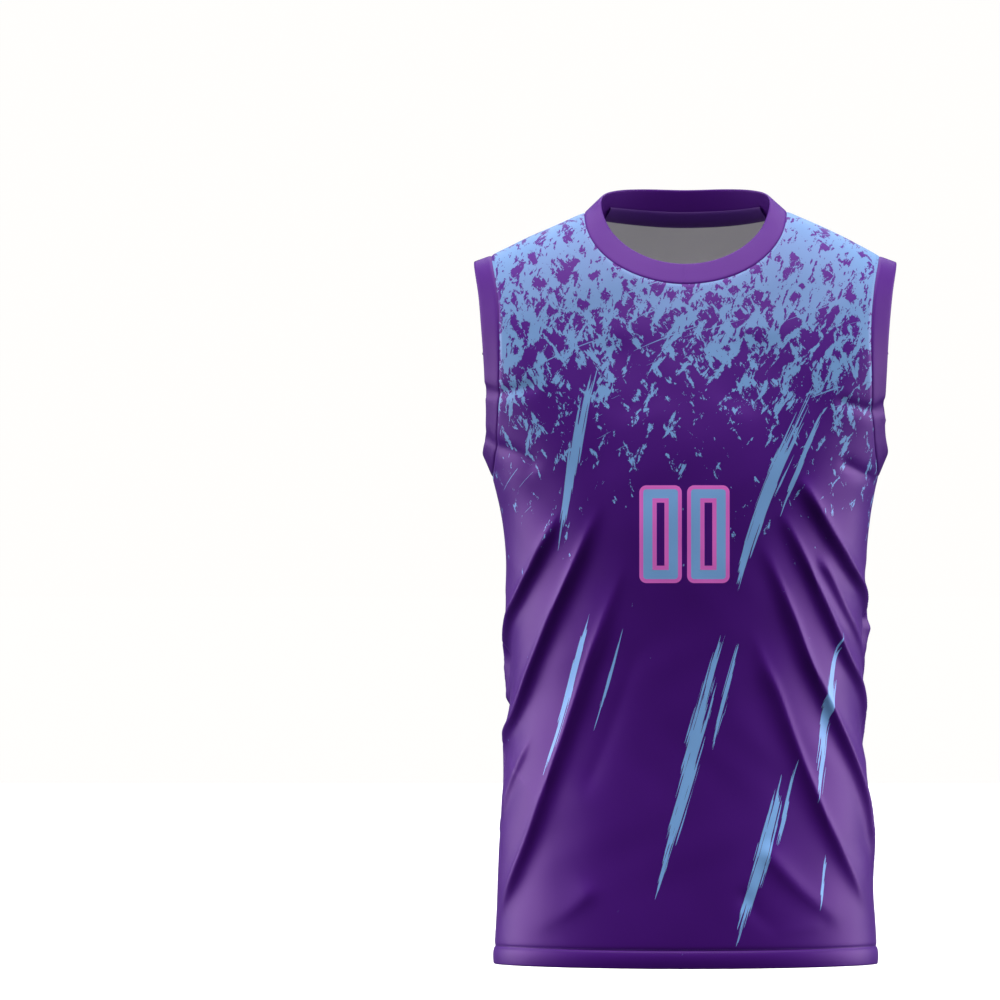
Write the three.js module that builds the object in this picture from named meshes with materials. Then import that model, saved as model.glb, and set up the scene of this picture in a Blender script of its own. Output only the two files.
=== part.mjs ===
// A sleeveless basketball jersey, size L, filled out as it is worn, with nobody in it.
// Cut and sewn from polyester knit: a front that wraps over the shoulders to a slanting seam on the
// shoulder blades, a back, a neck band, two armhole bands, and a tape over the neck seam inside the back.
// Each is a wall of cloth with its own thickness, parted from its neighbour by the seam gap.
// Millimetres. +X is the wearer's left, +Y the back and +Z up. The origin lies between the two
// high shoulder points, where the shoulder line meets the neck band.
import * as THREE from "three";

// Cloth and seams
const PANEL_WALL = 1.6;
const BAND_WALL = 2.2;
const TAPE_WALL = 1.0;
const SEAM_GAP = 0.3;

// The body of the jersey, as level sections. armpit is where the side seam ends and the armhole begins.
const SHOULDER_DROP = 0.43;
const SHOULDER_ROUNDING = 0.00046;
const NECK_HALF_WIDTH = 101.5;
const NECK_RISE_LENGTH = 25;
const FRONT_NECK_DROP = 74.5;
const BACK_NECK_DROP = 10;
const SIDE_FULLNESS = 0.85;
const ARMPIT_Z = -265;
const HEM_Z = -751;
const HEM_DIP = { front: 2, back: 7 };
const HEM_DEPTH = 18;
const HEM_GROOVE = 0.7;

const SECTIONS = [
  { z: -765, halfWidth: 193, front: 129, back: 127 },
  { z: -700, halfWidth: 189, front: 128, back: 126 },
  { z: -650, halfWidth: 186.5, front: 126, back: 123 },
  { z: -600, halfWidth: 184, front: 124, back: 119 },
  { z: -550, halfWidth: 179.5, front: 122, back: 114 },
  { z: -500, halfWidth: 175.5, front: 121, back: 110 },
  { z: -450, halfWidth: 175.5, front: 121, back: 107 },
  { z: -400, halfWidth: 177, front: 122, back: 106 },
  { z: -345, halfWidth: 179.5, front: 124, back: 106 },
  { z: -300, halfWidth: 184.5, front: 126, back: 107 },
  { z: -265, halfWidth: 193, front: 127, back: 108 },
  { z: -230, halfWidth: 203, front: 127, back: 110 },
  { z: -190, halfWidth: 214, front: 126, back: 112 },
  { z: -125, halfWidth: 228, front: 124, back: 113 },
  { z: -80, halfWidth: 236, front: 122, back: 113 },
  { z: 30, halfWidth: 246, front: 120, back: 112 },
];

// The armhole seam, as its distance from the middle of the jersey at each height.
const ARMHOLE_SEAM = [
  { z: -265, x: 193 },
  { z: -250, x: 190.6 },
  { z: -230, x: 188.5 },
  { z: -190, x: 186 },
  { z: -125, x: 185 },
  { z: -80, x: 188 },
  { z: -44, x: 194 },
  { z: -20, x: 198 },
];

// How far below the shoulder line the seam on the shoulder blade runs, from the neck to the armhole.
const BLADE_SEAM = [
  { x: 84, drop: 6.3 },
  { x: 111, drop: 15 },
  { x: 132, drop: 22 },
  { x: 152, drop: 29 },
  { x: 170, drop: 42 },
  { x: 190, drop: 65 },
];
const BLADE_SEAM_NECK_X = 84;

// The way the cloth rounds over the shoulder line, from the middle to the shoulder tip. reach is how
// far down it becomes upright, and a power of 0.5 makes the turn round where there is a shoulder line.
const ROUNDING = {
  front: [
    { x: 0, reach: 330, power: 0.54 },
    { x: 50, reach: 340, power: 0.54 },
    { x: 80, reach: 340, power: 0.52 },
    { x: 101.5, reach: 310, power: 0.5 },
    { x: 130, reach: 260, power: 0.5 },
    { x: 160, reach: 200, power: 0.5 },
    { x: 195, reach: 150, power: 0.5 },
  ],
  back: [
    { x: 0, reach: 185, power: 0.39 },
    { x: 50, reach: 190, power: 0.41 },
    { x: 101.5, reach: 185, power: 0.5 },
    { x: 150, reach: 165, power: 0.5 },
    { x: 195, reach: 150, power: 0.5 },
  ],
};

// The largest folds. Each path is a line of points, x as seen from in front and z the height, and
// where x passes the side of the jersey the fold goes on round it. width is half the fold's breadth,
// and height is how far it rises out of the cloth, or falls into it.
const FRONT_FOLDS = [
  { path: [[-152, -330], [-172, -388], [-182, -440], [-225, -490]], width: 13, height: 7 },
  { path: [[-100, -272], [-128, -318], [-155, -375], [-173, -450], [-188, -535]], width: 12, height: -9 },
  { path: [[-95, -315], [-128, -392], [-156, -465], [-174, -525], [-205, -590]], width: 14, height: 8 },
  { path: [[-82, -300], [-115, -392], [-152, -490], [-190, -630]], width: 14, height: -8 },
  { path: [[-62, -350], [-104, -477], [-140, -583], [-186, -705]], width: 17, height: 7 },
  { path: [[-58, -390], [-98, -513], [-140, -630], [-184, -722]], width: 18, height: -4 },
  { path: [[146, -305], [166, -358], [181, -412], [210, -455]], width: 13, height: 7 },
  { path: [[114, -272], [145, -325], [172, -385], [190, -450]], width: 12, height: -8 },
  { path: [[106, -315], [137, -375], [162, -435], [176, -495], [200, -545]], width: 13, height: 7 },
  { path: [[94, -325], [131, -392], [158, -455], [190, -548]], width: 12, height: -7 },
  { path: [[80, -330], [114, -416], [147, -500], [192, -625]], width: 14, height: 8 },
  { path: [[66, -340], [102, -430], [140, -515], [192, -655]], width: 15, height: -8 },
  { path: [[54, -400], [90, -485], [130, -590], [188, -712]], width: 17, height: 6 },
  { path: [[60, -590], [85, -635], [107, -666], [146, -706]], width: 17, height: 4 },
];
const BACK_FOLDS = [
  { path: [[184, -322], [160, -262], [120, -212], [78, -190]], width: 12, height: 5 },
  { path: [[-184, -322], [-160, -262], [-120, -212], [-84, -186]], width: 12, height: 5 },
  { path: [[183, -318], [95, -306], [0, -298], [-102, -298], [-186, -322]], width: 14, height: 4 },
  { path: [[160, -350], [95, -370], [15, -370], [-60, -356], [-150, -335]], width: 14, height: -4 },
  { path: [[190, -378], [148, -420], [60, -434], [-58, -431], [-125, -412], [-190, -370]], width: 13, height: 5 },
  { path: [[192, -396], [148, -440], [60, -457], [-40, -457], [-125, -437], [-190, -390]], width: 12, height: -8 },
  { path: [[192, -414], [133, -458], [40, -484], [-50, -487], [-130, -464], [-192, -415]], width: 13, height: 7 },
  { path: [[165, -455], [95, -490], [0, -510], [-90, -498], [-160, -460]], width: 13, height: -6 },
  { path: [[192, -440], [133, -514], [56, -549], [-44, -555], [-132, -521], [-195, -432]], width: 14, height: 8 },
  { path: [[125, -540], [62, -565], [0, -572], [-40, -560]], width: 12, height: -7 },
  { path: [[186, -490], [150, -548], [80, -590], [0, -594], [-50, -570]], width: 14, height: 7 },
  { path: [[115, -575], [60, -612], [5, -668], [-25, -655], [-60, -630]], width: 14, height: -7 },
  { path: [[12, -640], [-40, -590], [-91, -568], [-150, -580]], width: 15, height: -7 },
  { path: [[175, -535], [133, -590], [100, -655], [90, -712]], width: 15, height: 5 },
  { path: [[-180, -545], [-126, -619], [-90, -680], [-78, -722]], width: 16, height: 5 },
];
const FOLD_STEPS = 28;
const FOLD_FADE = 0.22;
const HEM_CALM = 70;

// Grid counts
const STRAP_COLUMNS = 8;
const NECK_COLUMNS = 16;
const COLUMNS = 2 * STRAP_COLUMNS + NECK_COLUMNS;
const SIDE_ROWS = 36;
const ROW_CROWDING = 0.05;
const FRONT_ARMHOLE_ROWS = 11;
const BACK_ARMHOLE_ROWS = 11;
const STRAP_ROWS = 7;
const BAND_ROWS = 3;
const EDGE_DETAIL = 400;

// The free edge of the neck band: an oval seen from above, whose height depends on where it is
// around the neck, 0 in front and 180 behind.
const NECK_EDGE = { halfWidth: 84.5, halfDepth: 55, middleY: -3 };
const NECK_EDGE_HEIGHT = [
  { around: 0, z: -53.3 },
  { around: 20, z: -49.3 },
  { around: 40, z: -37.6 },
  { around: 60, z: -19.8 },
  { around: 75, z: -3.2 },
  { around: 90, z: 11 },
  { around: 105, z: 18.8 },
  { around: 125, z: 23.4 },
  { around: 150, z: 25.2 },
  { around: 180, z: 24.6 },
];

// An armhole band, by where it is around the arm: 0 on the shoulder, 90 in front, 180 in the armpit.
const ARM_BAND = [
  { around: 0, width: 18.5, outward: 0.94, inward: 0.34 },
  { around: 54, width: 22, outward: 0.86, inward: 0.51 },
  { around: 70, width: 22, outward: 0.84, inward: 0.54 },
  { around: 102, width: 22, outward: 0.67, inward: 0.74 },
  { around: 128, width: 22, outward: 0.53, inward: 0.85 },
  { around: 150, width: 23, outward: 0.5, inward: 0.87 },
  { around: 180, width: 24, outward: 0.38, inward: 0.925 },
  { around: 210, width: 23.5, outward: 0.5, inward: 0.87 },
  { around: 232, width: 23, outward: 0.55, inward: 0.835 },
  { around: 258, width: 23, outward: 0.69, inward: 0.72 },
  { around: 290, width: 23, outward: 0.86, inward: 0.51 },
  { around: 306, width: 22, outward: 0.89, inward: 0.45 },
  { around: 360, width: 18.5, outward: 0.94, inward: 0.34 },
];

const clamp = (v, low, high) => Math.min(high, Math.max(low, v));
const mix = (a, b, t) => a + (b - a) * t;
const ease = (t) => {
  const c = clamp(t, 0, 1);
  return c * c * (3 - 2 * c);
};

// A smooth reading of one column of a table, between its rows.
function read(table, key, column, at) {
  const last = table.length - 1;
  const rising = table[last][key] > table[0][key];
  const passed = (row) => (rising ? at >= row[key] : at <= row[key]);
  let i = 0;
  while (i < last - 1 && passed(table[i + 1])) i += 1;
  const [p, q] = [table[i], table[i + 1]];
  const [before, after] = [table[Math.max(0, i - 1)], table[Math.min(last, i + 2)]];
  const t = clamp((at - p[key]) / (q[key] - p[key]), 0, 1);
  const step = q[key] - p[key];
  const m0 = (step * (q[column] - before[column])) / (q[key] - before[key]);
  const m1 = (step * (after[column] - p[column])) / (after[key] - p[key]);
  const t2 = t * t;
  const t3 = t2 * t;
  return (
    (2 * t3 - 3 * t2 + 1) * p[column] +
    (t3 - 2 * t2 + t) * m0 +
    (3 * t2 - 2 * t3) * q[column] +
    (t3 - t2) * m1
  );
}
const halfWidth = (z) => read(SECTIONS, "z", "halfWidth", z);

// Height of the shoulder line over x, rising a little towards the neck.
function shoulderLine(x) {
  const past = Math.abs(x) - NECK_HALF_WIDTH;
  if (past < 0) return SHOULDER_DROP * NECK_RISE_LENGTH * (1 - Math.exp(past / NECK_RISE_LENGTH));
  return -SHOULDER_DROP * past - SHOULDER_ROUNDING * past * past;
}

// How far the unfolded cloth stands in front of or behind the shoulder line, at x and z.
function depth(face, x, z) {
  const drop = shoulderLine(x) - z;
  const across = 1 - (x / halfWidth(z)) ** 2;
  if (drop <= 0 || across <= 0) return 0;
  const [reach, power] = ["reach", "power"].map((key) => read(ROUNDING[face], "x", key, Math.abs(x)));
  const over = Math.sin((Math.PI / 2) * Math.min(1, drop / reach)) ** power;
  return read(SECTIONS, "z", face, z) * across ** (SIDE_FULLNESS / 2) * over;
}
const sign = { front: -1, back: 1 };

// The outward direction of the unfolded cloth, from the slope of depth squared.
function outward(face, x, y, z) {
  const step = 0.8;
  const square = (px, pz) => depth(face, px, pz) ** 2;
  const gx = -(square(x + step, z) - square(x - step, z)) / (2 * step);
  const gz = -(square(x, z + step) - square(x, z - step)) / (2 * step);
  return new THREE.Vector3(gx, 2 * y, gz).normalize();
}

// A fold's curve, as points in the cloth's girth and height.
const HALF_GIRTH = 156 * (Math.PI / 2);
function along(x, z) {
  const turn = Math.asin(clamp(x / halfWidth(z), -1, 1));
  const past = Math.max(0, Math.abs(x) - halfWidth(z));
  return 156 * turn + 16 * Math.sin(2 * turn) + Math.sign(x) * past;
}
function foldCurve(fold) {
  const points = fold.path.map(([x, z]) => new THREE.Vector2(along(x, z), z));
  return new THREE.SplineCurve(points).getPoints(FOLD_STEPS);
}
const FOLDS = {
  front: FRONT_FOLDS.map((fold) => ({ ...fold, curve: foldCurve(fold) })),
  back: BACK_FOLDS.map((fold) => ({ ...fold, curve: foldCurve(fold) })),
};

// Rise of one fold at a point: nearest stretch of its curve, its bell-shaped flanks and its ends.
function foldRise(fold, u, z) {
  let nearest = Infinity;
  let part = 0;
  fold.curve.slice(1).forEach((q, i) => {
    const p = fold.curve[i];
    const [dx, dz] = [q.x - p.x, q.y - p.y];
    const t = clamp(((u - p.x) * dx + (z - p.y) * dz) / (dx * dx + dz * dz), 0, 1);
    const gap = Math.hypot(u - p.x - t * dx, z - p.y - t * dz);
    if (gap >= nearest) return;
    nearest = gap;
    part = (i + t) / FOLD_STEPS;
  });
  const fade = ease(part / FOLD_FADE) * ease((1 - part) / FOLD_FADE);
  return fold.height * fade * Math.exp(-((nearest / fold.width) ** 2));
}
function folded(face, x, z) {
  const u = along(x, z);
  const round = Math.sign(x || 1) * 2 * HALF_GIRTH - u;
  const own = FOLDS[face].reduce((sum, fold) => sum + foldRise(fold, u, z), 0);
  const other = face === "front" ? "back" : "front";
  const near = z < ARMPIT_Z && Math.abs(u) > HALF_GIRTH / 2;
  const crossing = near ? FOLDS[other].reduce((sum, fold) => sum + foldRise(fold, round, z), 0) : 0;
  const aboveHem = z - HEM_Z;
  return (own + crossing) * ease((aboveHem - HEM_DEPTH) / HEM_CALM);
}

// One point of a panel: its place on the folded cloth and the direction out of the cloth.
function clothPoint(face, x, z, lift = 0) {
  const y = sign[face] * depth(face, x, z);
  const out = outward(face, x, y, z);
  const rise = folded(face, x, z) + lift;
  const place = new THREE.Vector3(x, y, z).addScaledVector(out, rise);
  return { x, z, face, place, out, rise };
}

// Seam lines, as points with x and z on the unfolded cloth, finely spaced.
const range = (n) => Array.from({ length: n + 1 }, (_, i) => i / n);
const armholeX = (z) => Math.min(read(ARMHOLE_SEAM, "z", "x", z), halfWidth(z));
function armholeEdge(face, fromZ, toZ) {
  return range(EDGE_DETAIL).map((t) => {
    const z = mix(fromZ, toZ, t);
    return clothPoint(face, armholeX(z), z);
  });
}
const shoulderTip = (() => {
  let x = 190;
  for (let i = 0; i < 40; i += 1) x = armholeX(shoulderLine(x));
  return { x, z: shoulderLine(x) };
})();

// Points spaced evenly, or with spacing that shrinks towards the end, along a fine line.
function spaced(line, count, crowd = 0) {
  const lengths = [0];
  line.slice(1).forEach((p, i) => lengths.push(lengths[i] + p.place.distanceTo(line[i].place)));
  const total = lengths[lengths.length - 1];
  return range(count).map((t) => {
    const want = total * (t + crowd * t * (1 - t));
    let i = 1;
    while (i < lengths.length - 1 && lengths[i] < want) i += 1;
    const part = (want - lengths[i - 1]) / (lengths[i] - lengths[i - 1]);
    const [p, q] = [line[i - 1], line[i]];
    return clothPoint(t < 1 ? p.face : q.face, mix(p.x, q.x, part), mix(p.z, q.z, part));
  });
}

// The front neckline is half an ellipse seen from in front. corner is where it meets the strap.
const NECK_CORNER_TURN = 0.3;
function frontNeck(turnFrom, turnTo) {
  return range(EDGE_DETAIL).map((t) => {
    const turn = mix(turnFrom, turnTo, t);
    const x = NECK_HALF_WIDTH * Math.cos(turn);
    return clothPoint("front", x, -FRONT_NECK_DROP * Math.sin(turn));
  });
}
// The back neckline falls gently from the shoulder line to the middle.
const backNeckZ = (x) => {
  const t = Math.abs(x) / NECK_HALF_WIDTH;
  return -BACK_NECK_DROP * (1 - t * t);
};
function backNeck(fromX, toX) {
  return range(EDGE_DETAIL).map((t) => {
    const x = mix(fromX, toX, t);
    return clothPoint("back", x, backNeckZ(x));
  });
}
function bladeSeam() {
  const [from, to] = [BLADE_SEAM_NECK_X, armholeX(-105)];
  return range(EDGE_DETAIL).map((t) => {
    const x = mix(from, to, t);
    const z = mix(backNeckZ(from), shoulderLine(x) - read(BLADE_SEAM, "x", "drop", x), ease(t * 8));
    return clothPoint("back", x, z);
  });
}

// Filling of a panel between its four edges, in the turn round the body and the height. Rows run level
// up to the armpit, and above it they bend more and more towards the shape of the top row.
const turnOf = (p) => Math.asin(clamp(p.x / halfWidth(p.z), -1, 1));
function fill(bottom, top, left, right, columns) {
  const rows = left.length - 1;
  return left.map((edge, j) =>
    bottom.map((_, i) => {
      if (j === 0) return bottom[i];
      if (j === rows) return top[i];
      if (i === 0) return edge;
      if (i === columns) return right[j];
      const s = i / columns;
      const t = (edge.z - left[0].z) / (left[rows].z - left[0].z);
      const over = clamp((edge.z - ARMPIT_Z) / (left[rows].z - ARMPIT_Z), 0, 1);
      const across = (f, row) => f(row[i]) - mix(f(row[0]), f(row[columns]), s);
      const sweep = mix(across(turnOf, bottom), across(turnOf, top), t);
      const turn = mix(turnOf(edge), turnOf(right[j]), s) + sweep;
      const height = (p) => p.z;
      return { turn, z: edge.z + (1 - t) * across(height, bottom) + over * across(height, top) };
    }),
  );
}
const flip = (p) => clothPoint(p.face, -p.x, p.z);

// Rows shared by both panels, from the hem up the side seam to the armpit.
const sideHeights = (() => {
  const first = [0, HEM_DEPTH - 2, HEM_DEPTH + 1, HEM_DEPTH + 5];
  const rest = range(SIDE_ROWS).slice(1).map((t) => t + ROW_CROWDING * Math.sin(2 * Math.PI * t));
  const total = ARMPIT_Z - HEM_Z;
  return [...first, ...rest.map((t) => mix(HEM_DEPTH + 5, total, t))];
})();
const ARMPIT_ROW = sideHeights.length - 1;
const columnTurn = (s) => (Math.PI / 2) * (1.12 * s - 0.12 * s ** 3);
function hemRow(face) {
  return range(COLUMNS).map((t) => {
    const turn = columnTurn(2 * t - 1);
    const z = HEM_Z - HEM_DIP[face] * Math.cos(turn) ** 2;
    return clothPoint(face, halfWidth(z) * Math.sin(turn), z);
  });
}
function sideSeam(face) {
  return sideHeights.map((up) => clothPoint(face, halfWidth(HEM_Z + up), HEM_Z + up));
}

// A panel's lower block, up to its top row, where top runs from the wearer's right to the left.
function panelBlock(face, top, armhole) {
  const left = [...sideSeam(face), ...armhole.slice(1)];
  const right = left.map(flip);
  const grid = fill(hemRow(face), top, right, left, COLUMNS);
  return grid.map((row, j) =>
    row.map((p) => {
      if (p.place) return p;
      const x = halfWidth(p.z) * Math.sin(p.turn);
      const stitched = j === 2 ? -HEM_GROOVE : 0;
      return clothPoint(face, x, p.z, stitched);
    }),
  );
}

// Front: the armhole up to the strap, the strap's first row, and the neckline between the straps.
const strapStart = { z: -78 };
const frontArmhole = spaced(armholeEdge("front", ARMPIT_Z, strapStart.z), FRONT_ARMHOLE_ROWS);
const neckCorner = frontNeck(NECK_CORNER_TURN, NECK_CORNER_TURN)[0];
const strapFoot = spaced(
  range(EDGE_DETAIL).map((t) => {
    const x = mix(armholeX(strapStart.z), neckCorner.x, t);
    const drop0 = shoulderLine(armholeX(strapStart.z)) - strapStart.z;
    const drop1 = shoulderLine(neckCorner.x) - neckCorner.z;
    return clothPoint("front", x, shoulderLine(x) - mix(drop0, drop1, t));
  }),
  STRAP_COLUMNS,
);
const neckline = spaced(frontNeck(NECK_CORNER_TURN, Math.PI - NECK_CORNER_TURN), NECK_COLUMNS);
const frontTop = [
  ...strapFoot.map(flip),
  ...neckline.map(flip).slice(1, -1),
  ...strapFoot.slice().reverse(),
];
const frontBlock = panelBlock("front", frontTop, frontArmhole);

// Straps: from the strap's foot in front, over the shoulder line, to the seam on the shoulder blade.
const blade = spaced(bladeSeam(), STRAP_COLUMNS).reverse();
const strapOuter = spaced(
  [
    ...range(EDGE_DETAIL).map((t) => {
      const z = mix(strapStart.z, shoulderTip.z, 1 - (1 - t) ** 2);
      return clothPoint("front", armholeX(z), z);
    }),
    ...range(EDGE_DETAIL).map((t) => {
      const z = mix(shoulderTip.z, blade[0].z, t * t);
      return clothPoint("back", armholeX(z), z);
    }),
  ],
  STRAP_ROWS,
);
const strapInner = spaced(
  [
    ...range(EDGE_DETAIL).map((t) => {
      const turn = NECK_CORNER_TURN * (1 - t) ** 2;
      const x = NECK_HALF_WIDTH * Math.cos(turn);
      return clothPoint("front", x, -FRONT_NECK_DROP * Math.sin(turn));
    }),
    ...range(EDGE_DETAIL).map((t) => {
      const x = mix(NECK_HALF_WIDTH, BLADE_SEAM_NECK_X, t * t);
      return clothPoint("back", x, backNeckZ(x));
    }),
  ],
  STRAP_ROWS,
);

// A strap is filled in x and in a measure of its depth, which runs smoothly over the shoulder line.
function overShoulder(p) {
  return sign[p.face] * Math.sqrt(Math.max(0, shoulderLine(p.x) - p.z));
}
const strapBlock = range(STRAP_ROWS).map((t, r) =>
  range(STRAP_COLUMNS).map((s, c) => {
    if (r === 0) return strapFoot[c];
    if (r === STRAP_ROWS) return blade[c];
    if (c === 0) return strapOuter[r];
    if (c === STRAP_COLUMNS) return strapInner[r];
    const corner = (f) =>
      (1 - s) * (1 - t) * f(strapFoot[0]) + s * (1 - t) * f(strapFoot[STRAP_COLUMNS]) +
      (1 - s) * t * f(blade[0]) + s * t * f(blade[STRAP_COLUMNS]);
    const blend = (f) =>
      (1 - t) * f(strapFoot[c]) + t * f(blade[c]) +
      (1 - s) * f(strapOuter[r]) + s * f(strapInner[r]) - corner(f);
    const x = blend((p) => p.x);
    const over = blend(overShoulder);
    return clothPoint(over < 0 ? "front" : "back", x, shoulderLine(x) - over * over);
  }),
);

// Front grid: the block, with the straps' rows above it and nothing between them.
const frontGrid = [
  ...frontBlock,
  ...strapBlock.slice(1).map((row) => [
    ...row.map(flip),
    ...Array(NECK_COLUMNS - 1).fill(null),
    ...row.slice().reverse(),
  ]),
];

// Back grid: the armhole up to the blade seam, then that seam, the neckline and the seam again.
const backArmhole = spaced(armholeEdge("back", ARMPIT_Z, blade[0].z), BACK_ARMHOLE_ROWS, 0.45);
const backNeckline = spaced(backNeck(BLADE_SEAM_NECK_X, -BLADE_SEAM_NECK_X), NECK_COLUMNS);
const backTop = [
  ...blade.map(flip),
  ...backNeckline.map(flip).slice(1, -1),
  ...blade.slice().reverse(),
];
const backGrid = panelBlock("back", backTop, backArmhole);

// A wall of cloth over a grid: outer face, inner face and a rim round every open edge. Each cell is
// split along the diagonal over which the folds rise or fall less, so that the folds stay smooth.
function clothWall(grid, thickness, name, material, closed = false) {
  const positions = [];
  const index = [];
  const ids = grid.map((row, j) =>
    row.map((p) => {
      if (!p) return null;
      const inner = p.place.clone().addScaledVector(p.out, -thickness(j, p));
      positions.push(...p.place.toArray(), ...inner.toArray());
      return positions.length / 3 - 2;
    }),
  );
  const rims = new Map();
  const quad = (a, b, c, d) => index.push(a, b, c, a, c, d);
  const edge = (a, b) => {
    if (rims.has(`${b},${a}`)) rims.delete(`${b},${a}`);
    else rims.set(`${a},${b}`, [a, b]);
  };
  const width = grid[0].length;
  for (let j = 0; j < grid.length - 1; j += 1) {
    for (let i = 0; i < (closed ? width : width - 1); i += 1) {
      const next = (i + 1) % width;
      const cell = [[j, i], [j, next], [j + 1, next], [j + 1, i]];
      if (cell.some(([r, c]) => ids[r][c] === null)) continue;
      const [e, f, g, h] = cell.map(([r, c]) => grid[r][c].rise || 0);
      if (Math.abs(f - h) < Math.abs(e - g)) cell.push(cell.shift());
      const corners = cell.map(([r, c]) => ids[r][c]);
      const [a, b, c, d] = corners;
      quad(a, b, c, d);
      quad(a + 1, d + 1, c + 1, b + 1);
      corners.forEach((k, n) => edge(k, corners[(n + 1) % 4]));
    }
  }
  rims.forEach(([a, b]) => quad(b, a, a + 1, b + 1));
  const geometry = new THREE.BufferGeometry();
  geometry.setAttribute("position", new THREE.Float32BufferAttribute(positions, 3));
  geometry.setIndex(index);
  const mesh = new THREE.Mesh(geometry, material);
  mesh.name = name;
  return mesh;
}

// Each piece's edges stop half a seam gap short of the seam line.
function parted(grid, closed = false) {
  const width = grid[0].length;
  const at = (j, i) => (grid[j] ? grid[j][closed ? (i + width) % width : i] : null);
  return grid.map((row, j) =>
    row.map((p, i) => {
      if (!p) return p;
      const place = p.place.clone();
      const pairs = [[at(j, i - 1), at(j, i + 1)], [at(j - 1, i), at(j + 1, i)]];
      pairs.forEach(([before, after]) => {
        if (Boolean(before) === Boolean(after)) return;
        const inside = (before || after).place;
        const pull = inside.clone().sub(p.place).setLength(SEAM_GAP / 2);
        place.add(pull);
      });
      return { ...p, place };
    }),
  );
}

// Faces wind outwards when the grid's columns run to the wearer's left in front, and to the right behind.
const mirrored = (grid) => grid.map((row) => row.slice().reverse());

// Neck seam as a closed loop, from the middle of the front round by the wearer's left.
const strapEdge = (grid, at) => range(STRAP_ROWS).map((_, r) => grid[frontBlock.length - 1 + r][at]);
const leftNeckColumn = STRAP_COLUMNS + NECK_COLUMNS;
const frontHalf = frontBlock[frontBlock.length - 1].slice(STRAP_COLUMNS, leftNeckColumn + 1);
const backHalf = backGrid[backGrid.length - 1].slice(STRAP_COLUMNS, leftNeckColumn + 1).reverse();
const neckLoop = [
  ...frontHalf.slice(NECK_COLUMNS / 2),
  ...strapEdge(frontGrid, leftNeckColumn).slice(1),
  ...backHalf.slice(1),
  ...strapEdge(frontGrid, STRAP_COLUMNS).reverse().slice(1),
  ...frontHalf.slice(1, NECK_COLUMNS / 2),
];

// A band over a closed seam loop. lean gives each seam point's direction and width.
function bandGrid(loop, lean) {
  const leans = loop.map((p, k) => lean(p, loop[(k + 1) % loop.length], loop.at(k - 1)));
  const rows = range(BAND_ROWS).map((s) =>
    loop.map((p, k) => {
      const across = leans[k].direction;
      const place = p.place.clone().addScaledVector(across, leans[k].width * s);
      const run = leans[(k + 1) % loop.length].edge.clone().sub(leans.at(k - 1).edge).normalize();
      const own = new THREE.Vector3().crossVectors(run, across).normalize();
      if (own.dot(leans[k].away) < 0) own.negate();
      const out = p.out.clone().lerp(own, ease(s * 2)).normalize();
      return { ...p, place, out };
    }),
  );
  return rows;
}
const NECK_SEAM = { halfWidth: NECK_HALF_WIDTH, halfDepth: 65, middleY: -9 };
function neckLean(p) {
  const fromX = p.place.x / NECK_SEAM.halfWidth;
  const fromY = (p.place.y - NECK_SEAM.middleY) / NECK_SEAM.halfDepth;
  const turn = Math.atan2(fromX, -fromY);
  const edge = new THREE.Vector3(
    NECK_EDGE.halfWidth * Math.sin(turn),
    NECK_EDGE.middleY - NECK_EDGE.halfDepth * Math.cos(turn),
    read(NECK_EDGE_HEIGHT, "around", "z", Math.abs(turn) * (180 / Math.PI)),
  );
  const direction = edge.clone().sub(p.place);
  const width = direction.length();
  return { direction: direction.normalize(), width, edge, away: new THREE.Vector3(fromX, fromY, 0) };
}
const neckBand = bandGrid(neckLoop, neckLean);

// Armhole seam of the wearer's left, from the seam on the shoulder blade forward round the arm.
const armholeColumn = (grid) => grid.slice(ARMPIT_ROW).map((row) => row[COLUMNS]);
const leftArmLoop = [
  ...armholeColumn(frontGrid).reverse(),
  ...armholeColumn(backGrid).slice(1, -1),
];
const armCentre = new THREE.Vector3(0, 0, -152);
function armLean(p, after, before) {
  const run = after.place.clone().sub(before.place).setX(0).normalize();
  const inward = new THREE.Vector3(0, -run.z, run.y);
  const toCentre = armCentre.clone().sub(p.place).setX(0);
  if (inward.dot(toCentre) < 0) inward.negate();
  const turn = (Math.atan2(-p.place.y / 70, (p.place.z - armCentre.z) / 110) * 180) / Math.PI;
  const around = turn < 0 ? turn + 360 : turn;
  const row = (name) => read(ARM_BAND, "around", name, around);
  const direction = inward.clone().multiplyScalar(row("inward"));
  direction.x = row("outward") * Math.sign(p.place.x);
  direction.normalize();
  const width = row("width");
  const edge = p.place.clone().addScaledVector(direction, width);
  return { direction, width, edge, away: inward.clone().negate() };
}
const leftArmBand = bandGrid(leftArmLoop, armLean);
const rightArmBand = bandGrid(
  leftArmLoop.map((p) => {
    const place = p.place.clone();
    const other = folded(p.face, -p.x, p.z) - folded(p.face, p.x, p.z);
    place.addScaledVector(p.out, other);
    place.x *= -1;
    const out = p.out.clone();
    out.x *= -1;
    return { ...p, x: -p.x, place, out };
  }),
  armLean,
);

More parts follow.
